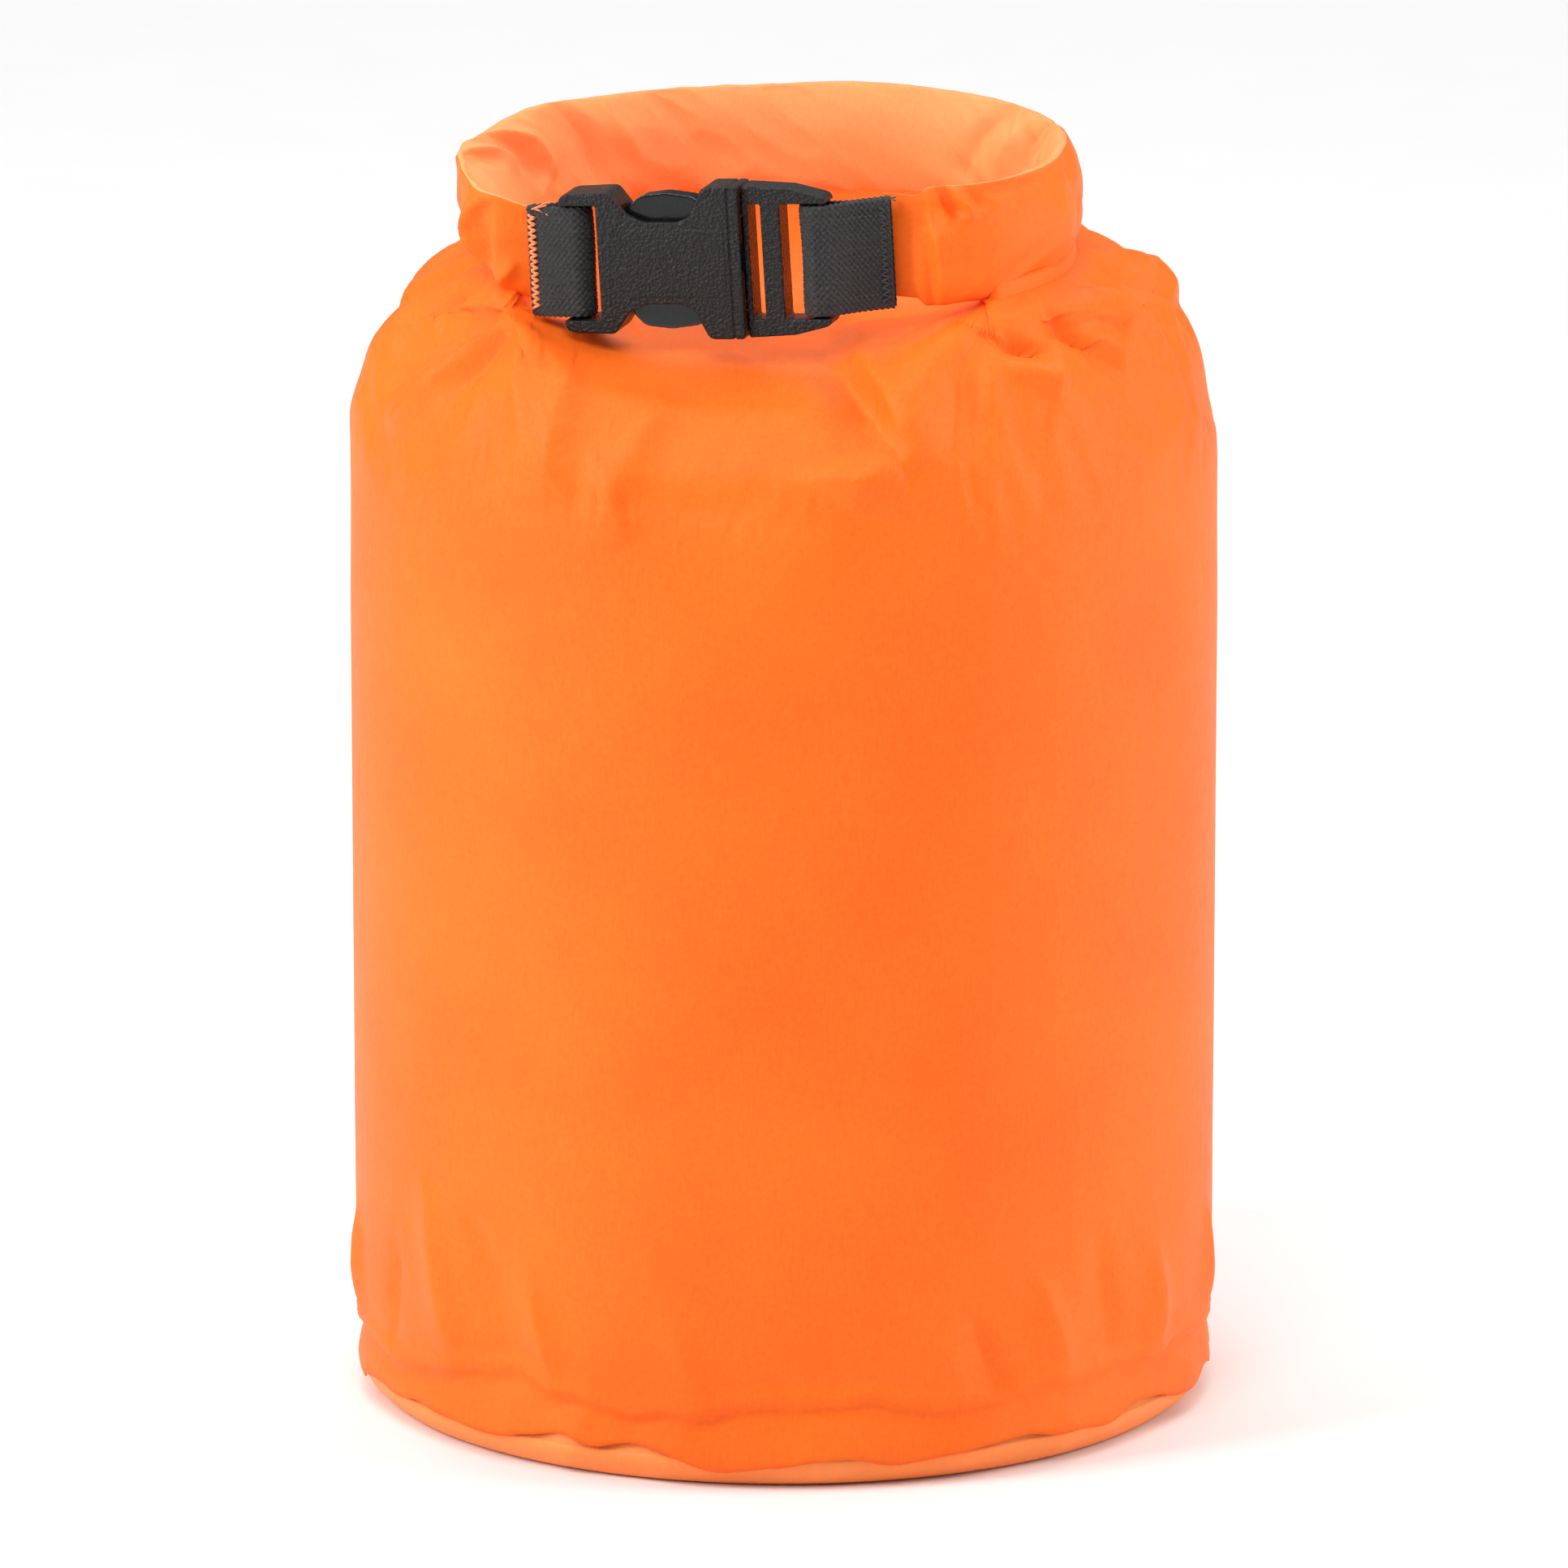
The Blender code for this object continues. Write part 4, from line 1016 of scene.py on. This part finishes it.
def loop_line(front, bar, turn, reach, back):
    """(x, y) points in the buckle's frame, mm: along the front layer, round a bar, and back.

    reach is 1 when the strap goes round the bar's left side and -1 when it goes round its right.
    """
    points = list(front)
    for k in range(13):
        angle = math.radians(-90 + 15 * k)
        points.append((bar - reach * turn * math.cos(angle), turn * math.sin(angle)))
    return points + list(back)


def smooth_line(points, spacing):
    """(points, sides, distances) of a smooth line through points given in mm."""
    count = 40 * len(points)
    fine = np.array([spline_point(points, k / count) for k in range(count + 1)]) * MM
    along = line_lengths(fine)
    where = np.linspace(0, along[-1], int(along[-1] / spacing))
    line = points_at(where, along, fine)
    step = np.gradient(line, axis=0)
    step /= np.linalg.norm(step, axis=1, keepdims=True)
    return line, np.stack([-step[:, 1], step[:, 0]], axis=1), where


def place(local):
    """Row-frame points from points in the buckle's frame."""
    turn = np.array(BUCKLE.to_3x3())
    return np.asarray(local) @ turn.T + np.array(BUCKLE.translation)


def make_strap(name, points, material):
    """Woven tape: every float of yarn is raised on both faces, and the selvedges are a little thinner."""
    line, normal, along = smooth_line(points, 0.19 * MM)
    across = np.linspace(-1, 1, 104)
    z, s = across * WEBBING_WIDTH / 2, along[:, None]
    relief = FLOAT_HEIGHT * np.cos(2 * math.pi * s / FLOAT_LENGTH) * np.cos(2 * math.pi * z / FLOAT_WIDTH)
    edge = 1 - 0.35 * np.abs(across) ** 14
    sway = 0.12 * MM * np.sin(3 * across + s / (4 * MM))
    ragged = z + 0.10 * MM * np.sin(s / (0.17 * MM)) * np.abs(across) ** 30 * np.sign(across)
    faces = []
    for sign in (1, -1):
        out = sign * (0.5 * WEBBING_THICKNESS - 0.06 * MM + sign * relief) * edge + sway
        faces.append(np.dstack([line[:, None] + normal[:, None] * out[..., None], ragged]))
    grid = np.concatenate([faces[0], faces[1][:, ::-1]], axis=1)
    obj = grid_mesh(name + "_webbing", place(grid), material, wrap=True, uv=cloth_uv(grid)[:, :, ::-1])
    close_ends(obj, grid.shape[1])
    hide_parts(name)
    return obj


def tube_along(points, radius, sides=7):
    """Rows of a round thread through points, for grid_mesh."""
    points = np.asarray(points, float)
    tangent = np.gradient(points, axis=0)
    tangent /= np.linalg.norm(tangent, axis=1, keepdims=True)
    rows = []
    side = np.cross(tangent[0], (0.3, 0.5, 0.81))
    for p, t in zip(points, tangent):
        side = side - t * (side @ t)
        side /= np.linalg.norm(side)
        other = np.cross(t, side)
        turns = 2 * math.pi * np.arange(sides) / sides
        rows.append(p + radius * (np.cos(turns)[:, None] * side + np.sin(turns)[:, None] * other))
    return np.array(rows)


def zigzag_points(middle, slope, turns, width, bow):
    """Points of a zigzag seam up a strap; each stitch bows off the face and dives in at its ends."""
    points = []
    for k in range(2 * turns):
        for part in np.linspace(0, 1, STITCH_POINTS, endpoint=False):
            share = (k + part) / (2 * turns)
            swing = part if k % 2 == 0 else 1 - part
            lift = bow * math.sin(math.pi * part) - 0.25 * bow
            x = middle[0] + slope[0] * width * (swing - 0.5) + slope[1] * lift
            y = middle[1] + slope[1] * width * (swing - 0.5) - slope[0] * lift
            points.append((x * MM, y * MM, (share - 0.5) * SEAM_HEIGHT * MM))
    return points


def join_threads(name, strands, material):
    """One mesh from several threads' rows."""
    parts = [grid_mesh(f"{name}_{k}", place(rows), material, wrap=True) for k, rows in enumerate(strands)]
    for part, rows in zip(parts, strands):
        close_ends(part, rows.shape[1])
    merged = parts[0]
    bm = bmesh.new()
    for part in parts:
        bm.from_mesh(part.data)
    bm.to_mesh(merged.data)
    bm.free()
    for part in parts[1:]:
        mesh = part.data
        bpy.data.objects.remove(part)
        bpy.data.meshes.remove(mesh)
    merged.name = name
    merged.data.shade_smooth()
    return merged


def loose_threads(start, count, length, seed):
    """Frayed ends that curl away from a point in the buckle's frame."""
    strands = []
    for k in range(count):
        turn = seed + 1.9 * k
        points = []
        for j in range(9):
            s = j / 8
            curl = 0.125 * s * s * (k % 3 - 0.6)
            x = start[0] + length * s * (0.8 + 0.25 * math.sin(turn)) + 0.4 * math.sin(turn + 3 * s)
            y = start[1] - 0.4 * math.sin(turn * 1.3) * s - 0.1 * k
            z = start[2] + length * (0.30 * s * math.sin(turn * 0.7) + curl)
            points.append((x * MM, y * MM, z * MM))
        strands.append(tube_along(points, 0.11 * MM, 5))
    return strands


def make_straps(webbing):
    """The socket's strap, and the plug's."""
    left = loop_line(LEFT_FRONT_LAYER, LEFT_BAR, LEFT_TURN, -1, LEFT_BACK_LAYER)
    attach(make_strap("strap_left", left, webbing), "root")
    right = loop_line(RIGHT_FRONT_LAYER, RIGHT_BAR, RIGHT_TURN, 1, RIGHT_BACK_LAYER)
    tape = make_strap("strap_right", right, webbing)
    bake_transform(tape)


def make_stitches(side, seam, radius, frayed, material):
    """Zigzag seam that holds a strap, with its frayed ends."""
    stitches = join_threads("stitches_" + side, [tube_along(seam, radius)] + frayed, material)
    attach(stitches, "root")
    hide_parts("bartack_" + side)


def make_both_stitches(orange, black):
    """The left strap's seam of thick orange thread and the right strap's finer black one."""
    slope = Vector((0.96, -0.28)).normalized()
    seam = zigzag_points((-39.2, -2.05), slope, 15, 1.3, 0.35)
    make_stitches("left", seam, 0.26 * MM, loose_threads((-38.6, -2.0, 9.6), 7, 3.6, 0.4), orange)
    slope = Vector((0.88, 0.47)).normalized()
    seam = zigzag_points((24.2, 4.0), slope, 14, 1.2, 0.2)
    make_stitches("right", seam, 0.16 * MM, loose_threads((25.6, 4.6, 9.9), 4, 1.4, 2.1), black)


# ------------------ the buckle

VOXEL = 0.17 * MM


def moulded(node, relief, material, body):
    """A moulding from its CAD node: edges softened by a fine remesh, then shallow surface relief."""
    source = frame["nodes"][node]
    obj = add_object(node + "_moulded", source.data.copy())
    obj.data.transform(BUCKLE.inverted() @ source.matrix_world)
    obj.data.materials.clear()
    remesh = obj.modifiers.new("remesh", "REMESH")
    remesh.mode = "VOXEL"
    remesh.voxel_size = VOXEL
    smooth = obj.modifiers.new("soften", "SMOOTH")
    smooth.factor = 0.5
    smooth.iterations = 5
    apply_modifiers(obj)
    points, normals = positions(obj), vertex_normals(obj)
    if relief is not None:
        points += normals * relief(points / MM, normals)[:, None] * MM
    set_positions(obj, points)
    obj.data.transform(BUCKLE)
    obj.data.materials.append(material)
    obj.data.shade_smooth()
    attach(obj, body)
    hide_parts(node)


def housing_relief(p, normals):
    """Groove near the housing's mouth, and the plain raised panel on its front, as heights in mm."""
    x, z = p[:, 0], p[:, 2]
    facing = np.clip(-normals[:, 1] * 2 - 0.6, 0, 1)
    groove = -0.28 * bell(x, -1.9, 0.22) * np.clip(np.abs(normals[:, 1]) + np.abs(normals[:, 2]), 0, 1)
    outline = np.maximum(np.abs(x + 12.2) - 9.2, np.abs(z) - 6.1)
    return groove + 0.09 * (1 - smoothstep(-0.12, 0.12, outline)) * facing


def make_buckle(grained, polished):
    moulded("female_housing", housing_relief, grained, "root")
    moulded("male_frame", None, grained, "buckle_plug")
    moulded("prong_upper", None, polished, "upper_prong")
    moulded("prong_lower", None, polished, "lower_prong")


# ------------------ stage

def area_light(name, place, target, size, power):
    data = bpy.data.lights.new(name, "AREA")
    data.shape = "RECTANGLE"
    data.size, data.size_y = size
    data.energy = power
    light = add_object(name, data)
    light.location = place
    light.rotation_euler = (Vector(target) - Vector(place)).to_track_quat("-Z", "Y").to_euler()


def place_camera(height, elevation, distance):
    """Camera at the photograph's angle: in front of the bag, looking down at a height on its axis."""
    camera = bpy.data.cameras.new("photo_camera")
    camera.lens = 300.5
    camera.sensor_width = 36
    camera.clip_end = 20
    camera.shift_y = -0.0231
    obj = add_object("photo_camera", camera)
    obj.location = (0, -distance * math.cos(elevation), height + distance * math.sin(elevation))
    obj.rotation_euler = (math.radians(90) - elevation, 0, 0)
    bpy.context.scene.camera = obj


def make_stage():
    """White floor and world, two softboxes, a top light and a wash that whitens the floor behind the bag."""
    scene = bpy.context.scene
    corners = np.array([[(x, y, 0.0) for x in (-3, 3)] for y in (-2.4, 3.5)])
    floor = grid_mesh("studio_floor", corners, studio_paper("studio_paper"))
    world = bpy.data.worlds.new("studio")
    world.use_nodes = True
    world.node_tree.nodes["Background"].inputs["Color"].default_value = (1, 1, 1, 1)
    world.node_tree.nodes["Background"].inputs["Strength"].default_value = 0.12
    scene.world = world
    middle = (0, 0, 0.12)
    area_light("softbox_left", (-0.88, -0.39, 0.62), middle, (0.36, 0.8), 10.0)
    area_light("softbox_right", (0.95, -0.14, 0.42), middle, (0.36, 0.85), 6.2)
    area_light("top_front", (-0.05, -0.42, 0.62), (0, 0, 0.19), (0.3, 0.24), 1.6)
    area_light("floor_wash", (0, 1.3, 2.6), (0, 1.1, 0), (4.5, 3.2), 103)
    place_camera(middle[2], math.radians(14.5), 2.4)
    scene.view_settings.view_transform = "Standard"
    scene.view_settings.exposure = 0.0


# ------------------ assembly

def main():
    shell = coated_nylon("orange_nylon", rgb(0.92, 0.108, 0.001), rgb(1.0, 0.160, 0.006))
    make_stage()
    make_body(shell)
    # painted light: the base panel is the orange nylon made paler, standing in for light bounced up from the
    # floor
    make_base(coated_nylon("base_panel_painted_floor_light", rgb(1.0, 0.27, 0.065), rgb(1.0, 0.33, 0.10)))
    # the roll's inner face: the paler coated side, lightened further as painted sheen
    make_roll(shell, coated_nylon("coated_side_and_painted_sheen", rgb(0.98, 0.30, 0.10), rgb(1.0, 0.37, 0.135)))
    make_stiffeners(strip_plastic("stiffener_strip"))
    orange = sewing_thread("orange_thread", rgb(0.9, 0.12, 0.01), rgb(1.0, 0.36, 0.12))
    black = sewing_thread("black_thread", rgb(0.006, 0.006, 0.006), rgb(0.03, 0.03, 0.03))
    make_straps(webbing_yarn("black_webbing"))
    make_both_stitches(orange, black)
    make_buckle(grained_plastic("housing_plastic"), glossy_plastic("prong_plastic_gloss"))


main()
